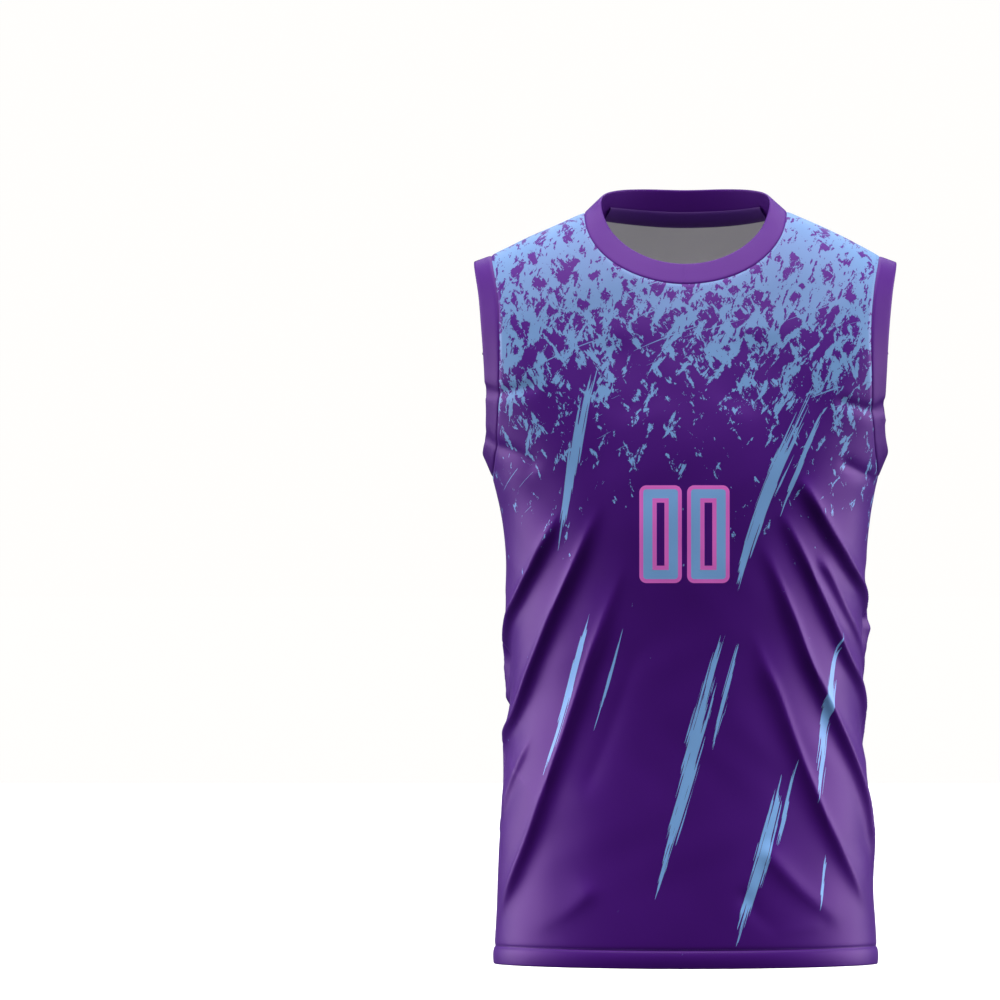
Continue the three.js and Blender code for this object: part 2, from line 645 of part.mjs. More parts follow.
// Tape over the neck seam, inside the back: on the band above the seam, on the panel below it.
const TAPE_ABOVE = 12;
const TAPE_BELOW = 1.5;
const TAPE_EASE = 0.1;
function tapeGrid() {
  const count = NECK_COLUMNS + 1;
  const topRow = parted(backGrid);
  const last = topRow.length - 1;
  const innerAt = (p, wall) => p.place.clone().addScaledVector(p.out, -wall);
  const bandRows = parted(neckBand, true);
  const first = neckLoop.indexOf(backHalf[1]) - 1;
  const rows = [[], [], []];
  for (let k = 0; k < count; k += 1) {
    const seamPoint = topRow[last][leftNeckColumn - k];
    const lower = topRow[last - 1][leftNeckColumn - k];
    const loopAt = (first + k + neckLoop.length) % neckLoop.length;
    const seamInner = innerAt(seamPoint, PANEL_WALL);
    const downWay = innerAt(lower, PANEL_WALL).sub(seamInner).setLength(TAPE_BELOW);
    const bandFoot = innerAt(bandRows[0][loopAt], BAND_WALL);
    const bandNext = innerAt(bandRows[1][loopAt], BAND_WALL);
    const upWay = bandNext.clone().sub(bandFoot).setLength(TAPE_ABOVE);
    const inward = seamPoint.out.clone().negate();
    const bandIn = bandRows[1][loopAt].out.clone().negate();
    const middle = inward.clone().add(bandIn).normalize();
    const clear = SEAM_GAP + BAND_WALL - PANEL_WALL + TAPE_WALL + TAPE_EASE;
    const row = (place, out, gap) => ({ place: place.addScaledVector(out, gap), out });
    rows[0].push(row(seamInner.clone().add(downWay), inward.clone(), SEAM_GAP + TAPE_WALL));
    rows[1].push(row(seamInner.clone(), middle, clear));
    rows[2].push(row(bandFoot.add(upWay), bandIn.clone(), SEAM_GAP + TAPE_WALL));
  }
  return rows;
}

// Materials: dyed knit, satin outside
const purpleKnit = new THREE.MeshStandardMaterial({ color: 0x4a1a7c, roughness: 0.55, metalness: 0 });
const printedKnit = new THREE.MeshStandardMaterial({ color: 0x5c4aa8, roughness: 0.55, metalness: 0 });
const bandKnit = new THREE.MeshStandardMaterial({ color: 0x5e2f92, roughness: 0.6, metalness: 0 });
const tapeKnit = new THREE.MeshStandardMaterial({ color: 0x3a1066, roughness: 0.7, metalness: 0 });

const panelThickness = (j) => (j <= 2 ? BAND_WALL : PANEL_WALL);
const bandThickness = () => BAND_WALL;
const jersey = new THREE.Group();
jersey.add(
  clothWall(parted(frontGrid), panelThickness, "front", printedKnit),
  clothWall(mirrored(parted(backGrid)), panelThickness, "back", purpleKnit),
  clothWall(parted(neckBand, true), bandThickness, "neck_band", bandKnit, true),
  clothWall(parted(leftArmBand, true), bandThickness, "armhole_band_left", bandKnit, true),
  clothWall(mirrored(parted(rightArmBand, true)), bandThickness, "armhole_band_right", bandKnit, true),
  clothWall(mirrored(tapeGrid()), () => TAPE_WALL, "neck_tape", tapeKnit),
);

export default jersey;
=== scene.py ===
import bpy
import numpy as np
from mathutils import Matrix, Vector


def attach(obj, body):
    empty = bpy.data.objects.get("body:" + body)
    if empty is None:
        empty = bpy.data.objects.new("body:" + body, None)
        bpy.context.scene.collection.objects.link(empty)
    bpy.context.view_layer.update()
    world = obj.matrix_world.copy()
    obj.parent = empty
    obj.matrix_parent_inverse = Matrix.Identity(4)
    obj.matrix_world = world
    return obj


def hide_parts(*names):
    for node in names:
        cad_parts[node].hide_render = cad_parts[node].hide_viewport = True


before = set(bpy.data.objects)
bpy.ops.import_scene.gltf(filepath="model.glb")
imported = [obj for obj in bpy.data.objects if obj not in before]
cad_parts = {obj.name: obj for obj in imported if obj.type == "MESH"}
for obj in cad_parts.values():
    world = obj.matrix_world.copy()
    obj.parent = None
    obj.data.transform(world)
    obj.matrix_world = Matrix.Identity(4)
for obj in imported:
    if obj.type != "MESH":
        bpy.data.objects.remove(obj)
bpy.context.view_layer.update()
bpy.ops.object.select_all(action="DESELECT")

# Camera: ten metres in front of the jersey at the height of the waist, with a long lens, and turned
# a little so that the jersey hangs to the right of the middle of the picture.
bpy.ops.object.camera_add(location=(0, -10, -0.45))
camera = bpy.context.object
camera.data.lens = 360
aim = Vector((-0.1855, 0, -0.288)) - camera.location
camera.rotation_euler = aim.to_track_quat("-Z", "Y").to_euler()
bpy.context.scene.camera = camera
bpy.context.scene.view_settings.view_transform = "Standard"

# Studio: a pale floor under the jersey, and a pale wall all round it that is only seen, so that the
# cloth is lit by the lamps alone: one broad soft lamp overhead and one on each side.
STUDIO_RADIUS = 60
bpy.ops.mesh.primitive_circle_add(vertices=96, radius=STUDIO_RADIUS, fill_type="NGON", location=(0, 0, -1.3))
floor = bpy.context.object
floor.name = "floor"
pale_floor = bpy.data.materials.new("pale_floor")
pale_floor.use_nodes = True
pale_floor.node_tree.nodes["Principled BSDF"].inputs["Base Color"].default_value = (0.93, 0.93, 0.93, 1)
pale_floor.node_tree.nodes["Principled BSDF"].inputs["Roughness"].default_value = 0.9
floor.data.materials.append(pale_floor)

bpy.ops.mesh.primitive_uv_sphere_add(segments=48, ring_count=24, radius=STUDIO_RADIUS)
wall = bpy.context.object
wall.name = "wall"
pale_wall = bpy.data.materials.new("pale_wall")
pale_wall.use_nodes = True
wall_shader = pale_wall.node_tree.nodes["Principled BSDF"]
wall_shader.inputs["Base Color"].default_value = (0, 0, 0, 1)
wall_shader.inputs["Emission Color"].default_value = (0.995, 0.985, 0.97, 1)
wall_shader.inputs["Emission Strength"].default_value = 1
wall.data.materials.append(pale_wall)
for surface in (floor, wall):
    surface.visible_diffuse = surface.visible_glossy = False
wall.visible_shadow = False

LAMPS = {
    "overhead_lamp": {"towards": (0, -0.25, 1), "strength": 3.6, "spread": 60},
    "left_lamp": {"towards": (-1, 0.1, 0.2), "strength": 3.35, "spread": 50},
    "right_lamp": {"towards": (1, 0.1, 0.2), "strength": 3.35, "spread": 50},
    "rear_lamp": {"towards": (0, 1, 1.3), "strength": 1.25, "spread": 50},
}
for name, lamp in LAMPS.items():
    bpy.ops.object.light_add(type="SUN", location=Vector(lamp["towards"]) * 3)
    light = bpy.context.object
    light.name = name
    light.rotation_euler = Vector(lamp["towards"]).to_track_quat("Z", "Y").to_euler()
    light.data.energy = lamp["strength"]
    light.data.angle = np.radians(lamp["spread"])
# A small lamp in the hollow of the chest stands for the light that the thin knit lets through.
bpy.ops.object.light_add(type="POINT", location=(0, -0.02, -0.27))
inner_lamp = bpy.context.object
inner_lamp.name = "inner_lamp"
inner_lamp.data.energy = 0.16
inner_lamp.data.shadow_soft_size = 0.06
world = bpy.data.worlds.new("studio_air")
bpy.context.scene.world = world
world.use_nodes = True
world.node_tree.nodes["Background"].inputs["Color"].default_value = (0.9, 0.92, 1, 1)
world.node_tree.nodes["Background"].inputs["Strength"].default_value = 0.09

# Front panel: one piece of printed polyester knit, satin outside and unprinted inside, that wraps over
# the shoulders to a seam on the shoulder blades. Its hem is turned up inside and stitched twice.
# The sizes are in millimetres, as on the pattern sheet: x to the wearer's left and z up from the
# shoulder, and how far the cloth stands out from the line of the shoulders is worked out from them.
SECTIONS = {  # height: half width, stand-out in front, stand-out behind
    -765: (193, 129, 127), -700: (189, 128, 126), -650: (186.5, 126, 123), -600: (184, 124, 119),
    -550: (179.5, 122, 114), -500: (175.5, 121, 110), -450: (175.5, 121, 107), -400: (177, 122, 106),
    -345: (179.5, 124, 106), -300: (184.5, 126, 107), -265: (193, 127, 108), -230: (203, 127, 110),
    -190: (214, 126, 112), -125: (228, 124, 113), -80: (236, 122, 113), 30: (246, 120, 112),
}
ARMHOLE_SEAM = {-265: 193, -250: 190.6, -230: 188.5, -190: 186, -125: 185, -80: 188, -44: 194, -20: 198}
BLADE_SEAM = {84: 6.3, 111: 15, 132: 22, 152: 29, 170: 42, 190: 65}
FRONT_ROUNDING = {  # distance from the middle: how far down the cloth turns upright, and how sharply
    -50: (340, 0.54), 0: (330, 0.54), 50: (340, 0.54), 80: (340, 0.52), 101.5: (310, 0.5),
    130: (260, 0.5), 160: (200, 0.5), 195: (150, 0.5),
}
BACK_ROUNDING = {
    -50: (190, 0.41), 0: (185, 0.39), 50: (190, 0.41), 101.5: (185, 0.5), 150: (165, 0.5), 195: (150, 0.5),
}
NECK_HALF_WIDTH = 101.5
FRONT_NECK_DROP = 74.5
BACK_NECK_DROP = 10
BLADE_SEAM_NECK_X = 84
ARMPIT_Z = -265
STRAP_Z = -78
HEM_Z = -751
HEM_DEPTH = 18
HEM_DIP = {"front": 2, "back": 7}
KNIT = 0.9
HALF_GIRTH = 156 * np.pi / 2


def ease(t):
    t = np.clip(t, 0, 1)
    return t * t * (3 - 2 * t)


def read(table, at, column=0):
    """A smooth reading between the rows of a table."""
    keys = np.array(sorted(table), float)
    values = np.array([np.atleast_1d(table[key])[column] for key in sorted(table)], float)
    low = np.clip(np.searchsorted(keys, at, side="right") - 1, 0, len(keys) - 2)
    high = low + 1
    before, after = np.maximum(low - 1, 0), np.minimum(high + 1, len(keys) - 1)
    step = keys[high] - keys[low]
    t = np.clip((at - keys[low]) / step, 0, 1)
    slope_low = step * (values[high] - values[before]) / (keys[high] - keys[before])
    slope_high = step * (values[after] - values[low]) / (keys[after] - keys[low])
    rise = ease(t)
    return (
        (1 - rise) * values[low]
        + rise * values[high]
        + (t**3 - 2 * t**2 + t) * slope_low
        + (t**3 - t**2) * slope_high
    )


def half_width(z):
    return read(SECTIONS, z)


def armhole_x(z):
    return np.minimum(read(ARMHOLE_SEAM, z), half_width(z))


def shoulder_line(x):
    past = np.abs(x) - NECK_HALF_WIDTH
    inside = 10.75 * (1 - 2 * np.exp(-NECK_HALF_WIDTH / 25) * np.cosh(x / 25))
    return np.where(past < 0, inside, -0.43 * past - 0.00046 * past**2)


def stand_out(face, x, z):
    """How far the smooth cloth stands in front of the shoulder line, or behind it where face is 1."""
    drop = np.maximum(shoulder_line(x) - z, 0)
    across = np.maximum(1 - (x / half_width(z)) ** 2, 0)
    made = 0
    for side, rounding, column in ((-1, FRONT_ROUNDING, 1), (1, BACK_ROUNDING, 2)):
        reach, power = (read(rounding, np.abs(x), c) for c in (0, 1))
        over = np.sin(np.pi / 2 * np.minimum(1, drop / reach)) ** power
        made = made + (face == side) * read(SECTIONS, z, column) * across**0.425 * over
    return made


def round_body(x, z):
    """Distance round the body from the middle, at x and z, going on past the side seam."""
    turn = np.arcsin(np.clip(x / half_width(z), -1, 1))
    past = np.maximum(0, np.abs(x) - half_width(z))
    return 156 * turn + 16 * np.sin(2 * turn) + np.sign(x) * past


# Creases of the front, longest drags first: points down the crease, its breadth, its height, and how
# much steeper its right flank is than its left. A drag, at 1 or -1, is pulled to a crest with a
# hollow under its steep flank.
FRONT_CREASES = [
    ([(-124, -300), (-135, -324), (-161, -378), (-173, -406), (-180, -436), (-190, -470), (-206, -515)], 10, 7, 1),
    ([(-80, -284), (-104, -340), (-129, -397), (-150, -450), (-168, -501), (-178, -532), (-190, -590)], 11, 7, 1),
    ([(-56, -340), (-80, -406), (-98, -458), (-115, -510), (-135, -568), (-156, -627), (-179, -688), (-190, -722)], 13, 6.5, 1),
    ([(-152, -520), (-167, -555), (-176, -579), (-184, -616)], 8, 2.6, 1),
    ([(-40, -420), (-62, -480), (-86, -545), (-104, -590)], 16, -1.6, 0),
    ([(-84, -668), (-104, -688), (-128, -706), (-160, -722)], 14, 2.6, 0.2),
    ([(110, -264), (122, -284), (145, -325), (165, -361), (178, -398), (185, -436), (200, -480)], 10, 7, -1),
    ([(90, -294), (106, -323), (128, -371), (148, -418), (161, -449), (174, -482), (188, -520), (204, -560)], 11, 6.5, -1),
    ([(128, -342), (141, -361), (159, -401), (174, -440), (188, -480)], 9, 3.4, -1),
    ([(72, -326), (87, -358), (107, -407), (122, -449), (141, -490), (164, -545), (176, -582), (182, -614), (186, -650), (194, -700)], 12, 7, -1),
    ([(64, -412), (80, -455), (93, -486), (108, -529), (124, -570), (142, -613), (170, -673), (186, -715)], 15, 5.6, -1),
    ([(70, -628), (84, -644), (115, -677), (142, -700), (160, -716)], 14, 3.4, -0.2),
    ([(52, -672), (70, -700), (96, -724)], 10, -2.5, 0),
    ([(88, -722), (112, -716), (140, -712)], 8, 2.2, 0),
    ([(177, -350), (178, -386), (178, -420)], 16, -3, 0),
    ([(180, -548), (183, -588), (185, -622)], 18, -4, 0),
    ([(-196, -186), (-170, -180), (-142, -176)], 7, -2.2, 0),
    ([(-196, -232), (-168, -243), (-142, -262)], 9, -2.5, 0),
    ([(196, -204), (172, -197), (145, -190)], 7, -2.4, 0),
    ([(198, -276), (176, -262), (150, -250)], 8, -2.8, 0),
    ([(-66, -120), (-60, -170), (-40, -215)], 26, -1.6, 0),
    ([(70, -118), (66, -165), (50, -210)], 26, -1.6, 0),
]
BACK_CREASES = [
    ([(198, -146), (178, -136), (160, -128)], 7, 2.4, 0),
    ([(196, -196), (172, -176), (148, -145)], 9, -2.6, 0),
    ([(194, -222), (168, -200), (140, -160)], 10, 3, 0),
    ([(192, -258), (160, -230), (118, -186)], 11, -3.5, 0),
    ([(190, -290), (146, -262), (94, -208)], 12, 4, 0),
    ([(184, -300), (130, -285), (74, -252)], 12, -3.5, 0),
    ([(-196, -138), (-176, -140), (-160, -146)], 7, 2.4, 0),
    ([(-194, -196), (-168, -184), (-146, -158)], 9, -2.8, 0),
    ([(-192, -246), (-152, -220), (-114, -176)], 10, 3.4, 0),
    ([(-190, -288), (-148, -262), (-96, -205)], 12, -3.6, 0),
    ([(-186, -262), (-140, -266), (-112, -256)], 10, 3, 0),
    ([(190, -316), (136, -306), (60, -300), (-44, -296), (-102, -296), (-186, -322)], 11, 4.2, 0.2),
    ([(140, -358), (95, -363), (15, -363), (-49, -349), (-135, -334)], 12, -4.5, 0.2),
    ([(196, -352), (174, -387), (155, -417), (114, -437), (67, -446), (26, -448), (-12, -446), (-48, -442),
      (-106, -431), (-150, -414), (-175, -393), (-196, -366)], 10, 6, 1),
    ([(198, -388), (177, -411), (146, -443), (108, -464), (67, -478), (26, -484), (-18, -487), (-62, -484),
      (-106, -475), (-147, -458), (-174, -434), (-196, -408)], 10, 6.4, 1),
    ([(169, -446), (143, -484), (114, -499), (78, -508), (49, -508), (26, -505)], 9, 5, 1),
    ([(122, -505), (84, -514), (49, -511), (11, -520), (-18, -525), (-48, -516), (-77, -528)], 9, -3.6, 0),
    ([(198, -430), (168, -480), (128, -511), (99, -534), (55, -550), (11, -555), (-33, -553), (-77, -543),
      (-121, -525), (-159, -502), (-178, -472), (-194, -440)], 12, 7.6, 1),
    ([(120, -549), (96, -549), (67, -560), (26, -566), (-18, -563)], 9, -2.4, 0),
    ([(190, -470), (171, -502), (152, -537), (120, -560), (84, -575), (49, -585), (14, -588), (-15, -581),
      (-33, -569)], 11, 6.6, 1),
    ([(105, -578), (67, -602), (40, -626), (16, -652), (-4, -672), (-16, -684)], 13, -6.5, 0),
    ([(20, -680), (2, -670), (-14, -658), (-32, -641), (-50, -636), (-66, -638)], 11, -5, 0),
    ([(-4, -619), (-33, -590), (-62, -575), (-98, -572), (-121, -587), (-139, -581)], 12, -6.5, 0),
    ([(178, -515), (162, -534), (122, -572), (102, -613), (75, -660), (62, -700)], 11, 5, 1),
    ([(186, -545), (172, -575), (158, -610), (140, -651), (114, -710), (104, -740)], 12, 5, 1),
    ([(108, -654), (87, -669), (67, -687), (43, -710)], 9, -3, 0),
    ([(-165, -560), (-141, -584), (-121, -619), (-95, -672), (-80, -710), (-74, -740)], 12, 5, -1),
    ([(-192, -600), (-180, -628), (-162, -666), (-139, -710), (-130, -740)], 11, 4, -1),
]


def crease_rise(creases, u, z, crest_radius):
    """Rise of the cloth at u round the body and height z: a soft bell across each crease that is
    narrower at its crest, fading out at both ends."""
    rise = np.zeros(u.shape)
    for path, width, height, lean in creases:
        points = {n: (round_body(x, level), level) for n, (x, level) in enumerate(path)}
        at = np.linspace(0, len(path) - 1, 6 * len(path))
        line = np.stack([read(points, at, 0), read(points, at, 1)], axis=1)
        reach = (8 if abs(lean) == 1 else 3.2) * width
        near = (u > line[:, 0].min() - reach) & (u < line[:, 0].max() + reach)
        near &= (z > line[:, 1].min() - reach) & (z < line[:, 1].max() + reach)
        if not near.any():
            continue
        spot = np.stack([u[near], z[near]], axis=1)
        nearest = np.full(len(spot), 1e9)
        part = np.zeros(len(spot))
        side = np.zeros(len(spot))
        for n, (start, end) in enumerate(zip(line[:-1], line[1:])):
            run = end - start
            away = spot - start
            t = np.clip(away @ run / (run @ run), 0, 1)
            gap = np.hypot(*(away - t[:, None] * run).T)
            closer = gap < nearest
            nearest[closer] = gap[closer]
            part[closer] = (n + t[closer]) / (len(line) - 1)
            side[closer] = np.sign(run[1] * away[closer, 0] - run[0] * away[closer, 1])
        breadth = width * (1 + lean * side)
        if abs(lean) < 1:
            bell = 0.65 * np.exp(-((nearest / breadth) ** 2)) + 0.35 * np.exp(-((2.2 * nearest / breadth) ** 2))
        else:
            past = np.sqrt(nearest**2 + crest_radius**2) - crest_radius
            steep = 1.65 * np.exp(-past / (0.45 * width)) - 0.65 * np.exp(-past / (3 * width))
            gentle = 0.7 * np.exp(-past / (2.6 * width)) + 0.3 * np.exp(-past / 3)
            bell = np.where(side * lean < 0, steep, gentle)
        rise[near] += height * ease(part / 0.25) * ease((1 - part) / 0.25) * bell
    return rise


def lie_of_cloth(face, x, z):
    """Creases and the small unevenness of the knit, as the rise out of the smooth cloth."""
    u = round_body(x, z)
    beyond = np.where(x < 0, -2, 2) * HALF_GIRTH - u
    near_side = (z < ARMPIT_Z) & (np.abs(u) > HALF_GIRTH / 2)
    front = crease_rise(FRONT_CREASES, np.where(face < 0, u, beyond), z, 2.4)
    back = crease_rise(BACK_CREASES, np.where(face > 0, u, beyond), z, 3.4)
    rise = np.where((face < 0) | near_side, front, 0) + np.where((face > 0) | near_side, back, 0)
    turned = np.where(face < 0, u, beyond) / HALF_GIRTH * np.pi / 2
    uneven = 0.7 * np.sin(5 * turned + z / 47 + 1.3) * np.sin(z / 38 - 2 * turned)
    uneven += 0.35 * np.sin(12 * turned + 2 * np.sin(z / 29)) * np.sin(z / 17 + 4 * turned)
    return (rise + uneven) * ease((z - HEM_Z - HEM_DEPTH) / 70)


def cloth(face, x, z):
    """Points of the folded cloth, the directions out of it, and the print's own places on it."""
    y = face * stand_out(face, x, z)
    step = 0.8
    square = [stand_out(face, x + dx, z + dz) ** 2 for dx, dz in ((step, 0), (-step, 0), (0, step), (0, -step))]
    out = np.stack([(square[1] - square[0]) / (2 * step), 2 * y, (square[3] - square[2]) / (2 * step)], axis=-1)
    out /= np.maximum(np.linalg.norm(out, axis=-1, keepdims=True), 1e-9)
    place = np.stack([x, y, z], axis=-1) + out * lie_of_cloth(face, x, z)[..., None]
    drop = shoulder_line(x) - z
    printed = np.stack([round_body(x, z), shoulder_line(x) + face * np.hypot(y, drop), 0 * x], axis=-1)
    return place, out, printed


def spaced(face, x, z, fractions):
    """x, z and face of points at the given shares of the length of a line on the smooth cloth."""
    line = np.stack([x, face * stand_out(face, x, z), z], axis=1)
    length = np.concatenate([[0], np.cumsum(np.linalg.norm(np.diff(line, axis=0), axis=1))])
    want = np.asarray(fractions) * length[-1]
    return np.interp(want, length, x), np.interp(want, length, z), np.where(np.interp(want, length, face) < 0, -1, 1)


STRAP_SHARES = np.unique(np.r_[np.linspace(0, 1, 43), 0.006, 0.014, 0.035, 0.986, 0.994])
even = np.linspace(0, 1, 89)
NECK_SHARES = even - 0.06 * np.sin(2 * np.pi * even)
COLUMN_SHARES = np.r_[STRAP_SHARES * 0.25, 0.25 + NECK_SHARES[1:-1] * 0.5, 1 - STRAP_SHARES[::-1] * 0.25]
# Heights of the rows of the mesh above the hem: closest at its stitches and where the swags of the
# back run along the rows.
SIDE_HEIGHTS = np.r_[
    [1, 2, 4, 7, 10, 13, 15, 16.4, 17.4, 18.4, 19.6, 21.5, 24],
    np.linspace(27, 128, 27)[:-1],
    np.linspace(128, 395, 112)[:-1],
    np.linspace(395, ARMPIT_Z - HEM_Z, 25),
]


def panel_body(face, top_x, top_z, armhole_top):
    """x and z of a panel from the hem to its top row: level rows up to the armpit, which bend more and
    more towards the shape of the top row above it."""
    above = np.r_[np.linspace(ARMPIT_Z, armhole_top, 62)[1:-1], armhole_top - np.array([3, 1.4, 0])]
    side_z = np.r_[HEM_Z + SIDE_HEIGHTS, np.unique(above)]
    side_x = np.where(side_z <= ARMPIT_Z, half_width(side_z), armhole_x(side_z))
    side_turn = np.arcsin(np.clip(side_x / half_width(side_z), -1, 1))
    s = COLUMN_SHARES
    k = 2 * s - 1
    bottom_turn = np.pi / 2 * (1.12 * k - 0.12 * k**3)
    bottom_z = side_z[0] - HEM_DIP["front" if face < 0 else "back"] * np.cos(bottom_turn) ** 2
    top_turn = np.arcsin(np.clip(top_x / half_width(top_z), -1, 1))

    def sway(row):
        return row - (row[0] * (1 - s) + row[-1] * s)

    t = ((side_z - side_z[0]) / (side_z[-1] - side_z[0]))[:, None]
    over = np.clip((side_z - ARMPIT_Z) / (side_z[-1] - ARMPIT_Z), 0, 1)[:, None]
    turn = side_turn[:, None] * k + (1 - t) * sway(bottom_turn) + t * sway(top_turn)
    z = side_z[:, None] + (1 - t) * sway(bottom_z) + over * sway(top_z)
    return half_width(z) * np.sin(turn), z


def sheet_mesh(name, places, printed, material_names, whole_round=False):
    """A sheet of cloth from rows of points, with its faces turned out. Empty points leave a gap."""
    rows, columns = places.shape[:2]
    kept = np.isfinite(places[..., 0])
    index = np.full((rows, columns), -1)
    index[kept] = np.arange(kept.sum())
    low, high = index[:-1], index[1:]
    corners = [low, np.roll(low, -1, 1), np.roll(high, -1, 1), high]
    if not whole_round:
        corners = [corner[:, :-1] for corner in corners]
    faces = np.stack([corner.ravel() for corner in corners], axis=1)
    faces = faces[(faces >= 0).all(axis=1)]
    mesh = bpy.data.meshes.new(name)
    mesh.from_pydata((places[kept] / 1000).tolist(), [], faces.tolist())
    mesh.attributes.new("cloth", "FLOAT_VECTOR", "POINT")
    mesh.attributes["cloth"].data.foreach_set("vector", (printed[kept] / 1000).ravel().astype(np.float32))
    made = bpy.data.objects.new(name, mesh)
    bpy.context.scene.collection.objects.link(made)
    for material in material_names:
        mesh.materials.append(bpy.data.materials[material])
    return made


def finish_cloth(piece, thickness=None, inside=0):
    """Gives a sheet its thickness, inwards, and smooths its shading up to its cut edges."""
    bpy.ops.object.select_all(action="DESELECT")
    bpy.context.view_layer.objects.active = piece
    piece.select_set(True)
    if thickness:
        wall_of_cloth = piece.modifiers.new("thickness", "SOLIDIFY")
        wall_of_cloth.thickness = thickness / 1000
        wall_of_cloth.offset = -1
        wall_of_cloth.material_offset = inside
        bpy.ops.object.modifier_apply(modifier=wall_of_cloth.name)
    bpy.ops.object.shade_smooth_by_angle(angle=np.radians(50))
    bpy.ops.object.select_all(action="DESELECT")


# Dyes. The knit takes its colour by sublimation, so the print has no thickness of its own.
PINK = (1, 0.2, 0.8, 1)
# The print's one blue is given as two copies: a darker one on the yoke, as painted shade against the strong light from
# overhead, and a lighter one down the body and in the front number, as painted light where the lamps reach less.
YOKE_BLUE_PAINTED_SHADE = (0.152, 0.307, 0.565, 1)
BODY_BLUE_PAINTED_LIGHT = (0.262, 0.55, 1, 1)


def calc(nodes, operation, *values):
    step = nodes.new("ShaderNodeMath")
    step.operation = operation
    for socket, value in zip(step.inputs, values):
        if isinstance(value, (int, float)):
            socket.default_value = value
        else:
            nodes.id_data.links.new(value, socket)
    return step.outputs[0]


def mottle(nodes, place, grain, turn=0.0, detail=2.0, roughness=0.5, distortion=0.0):
    """Noise over the cloth, from 0 to 1. grain is the breadth and length of its marks in millimetres,
    and turn leans their length to the right."""
    mapping = nodes.new("ShaderNodeMapping")
    mapping.vector_type = "TEXTURE"
    mapping.inputs["Rotation"].default_value = (0, 0, -turn)
    mapping.inputs["Scale"].default_value = (grain[0] / 1000, grain[1] / 1000, 1)
    noise = nodes.new("ShaderNodeTexNoise")
    noise.inputs["Scale"].default_value = 1
    noise.inputs["Detail"].default_value = detail
    noise.inputs["Roughness"].default_value = roughness
    noise.inputs["Distortion"].default_value = distortion
    nodes.id_data.links.new(place, mapping.inputs["Vector"])
    nodes.id_data.links.new(mapping.outputs["Vector"], noise.inputs["Vector"])
    return noise.outputs[0]


def dyed(nodes, share, under, over):
    """The colour over where share is 1 and the colour under where it is 0."""
    mix = nodes.new("ShaderNodeMix")
    mix.data_type = "RGBA"
    for socket, value in ((mix.inputs[0], share), (mix.inputs[6], under), (mix.inputs[7], over)):
        if isinstance(value, (int, float, tuple)):
            socket.default_value = value
        else:
            nodes.id_data.links.new(value, socket)
    return mix.outputs[2]


def knit_material(name, roughness=0.48, sheen=0.05):
    """A satin polyester knit. Returns its nodes, its shader and the cloth's own places."""
    material = bpy.data.materials.new(name)
    material.use_nodes = True
    nodes = material.node_tree.nodes
    shader = nodes["Principled BSDF"]
    shader.inputs["Roughness"].default_value = roughness
    shader.inputs["Sheen Weight"].default_value = sheen
    shader.inputs["Sheen Roughness"].default_value = 0.35
    shader.inputs["Sheen Tint"].default_value = (0.85, 0.6, 1, 1)
    shader.inputs["Specular IOR Level"].default_value = 0.5
    shader.inputs["Specular Tint"].default_value = (0.85, 0.4, 1, 1)
    place = nodes.new("ShaderNodeAttribute")
    place.attribute_name = "cloth"
    return nodes, shader, place.outputs["Vector"]


def add_knit_relief(nodes, shader, place, strength=0.2):
    """Fine ribs of the knit: columns of stitches 0.8 mm apart, broken up along their length."""
    column = nodes.new("ShaderNodeTexWave")
    column.bands_direction = "X"
    column.inputs["Scale"].default_value = 393
    column.inputs["Distortion"].default_value = 1.2
    column.inputs["Detail Scale"].default_value = 3
    nodes.id_data.links.new(place, column.inputs["Vector"])
    slubs = mottle(nodes, place, (0.8, 1.6))
    relief = nodes.new("ShaderNodeBump")
    relief.inputs["Strength"].default_value = strength
    relief.inputs["Distance"].default_value = 0.0001
    nodes.id_data.links.new(calc(nodes, "ADD", column.outputs["Fac"], slubs), relief.inputs["Height"])
    nodes.id_data.links.new(relief.outputs["Normal"], shader.inputs["Normal"])


def add_number(nodes, colour, middle, half_gap, half_wide, half_high, radius, rings):
    """Two plain noughts side by side, as rings drawn in from a rounded box: how far in from its edge
    each ring starts, and its dye."""
    xyz = nodes.new("ShaderNodeSeparateXYZ")
    nodes.id_data.links.new(nodes.new("ShaderNodeTexCoord").outputs["Object"], xyz.inputs[0])
    from_middle = calc(nodes, "ABSOLUTE", calc(nodes, "SUBTRACT", xyz.outputs[0], middle[0] / 1000))
    across = calc(nodes, "ABSOLUTE", calc(nodes, "SUBTRACT", from_middle, (half_gap + half_wide) / 1000))
    up = calc(nodes, "ABSOLUTE", calc(nodes, "SUBTRACT", xyz.outputs[2], middle[1] / 1000))
    past_x = calc(nodes, "SUBTRACT", across, (half_wide - radius) / 1000)
    past_y = calc(nodes, "SUBTRACT", up, (half_high - radius) / 1000)
    squares = [calc(nodes, "POWER", calc(nodes, "MAXIMUM", past, 0), 2) for past in (past_x, past_y)]
    corner = calc(nodes, "SQRT", calc(nodes, "ADD", *squares))
    within = calc(nodes, "MINIMUM", calc(nodes, "MAXIMUM", past_x, past_y), 0)
    edge = calc(nodes, "SUBTRACT", calc(nodes, "ADD", corner, within), radius / 1000)
    for depth_in, dye in rings:
        inside = calc(nodes, "LESS_THAN", edge, -depth_in / 1000)
        colour = dyed(nodes, inside, colour, dye)
    return colour


def add_shade(nodes, place, dark, light):
    """The slight unevenness of a large dyed area."""
    return dyed(nodes, mottle(nodes, place, (110, 110), detail=3), dark, light)


nodes, shader, place = knit_material("front_print")
ground = add_shade(nodes, place, (0.058, 0.003, 0.195, 1), (0.07, 0.005, 0.225, 1))
height = nodes.new("ShaderNodeSeparateXYZ")
nodes.id_data.links.new(place, height.inputs[0])
down = calc(nodes, "MULTIPLY", height.outputs[1], -1)


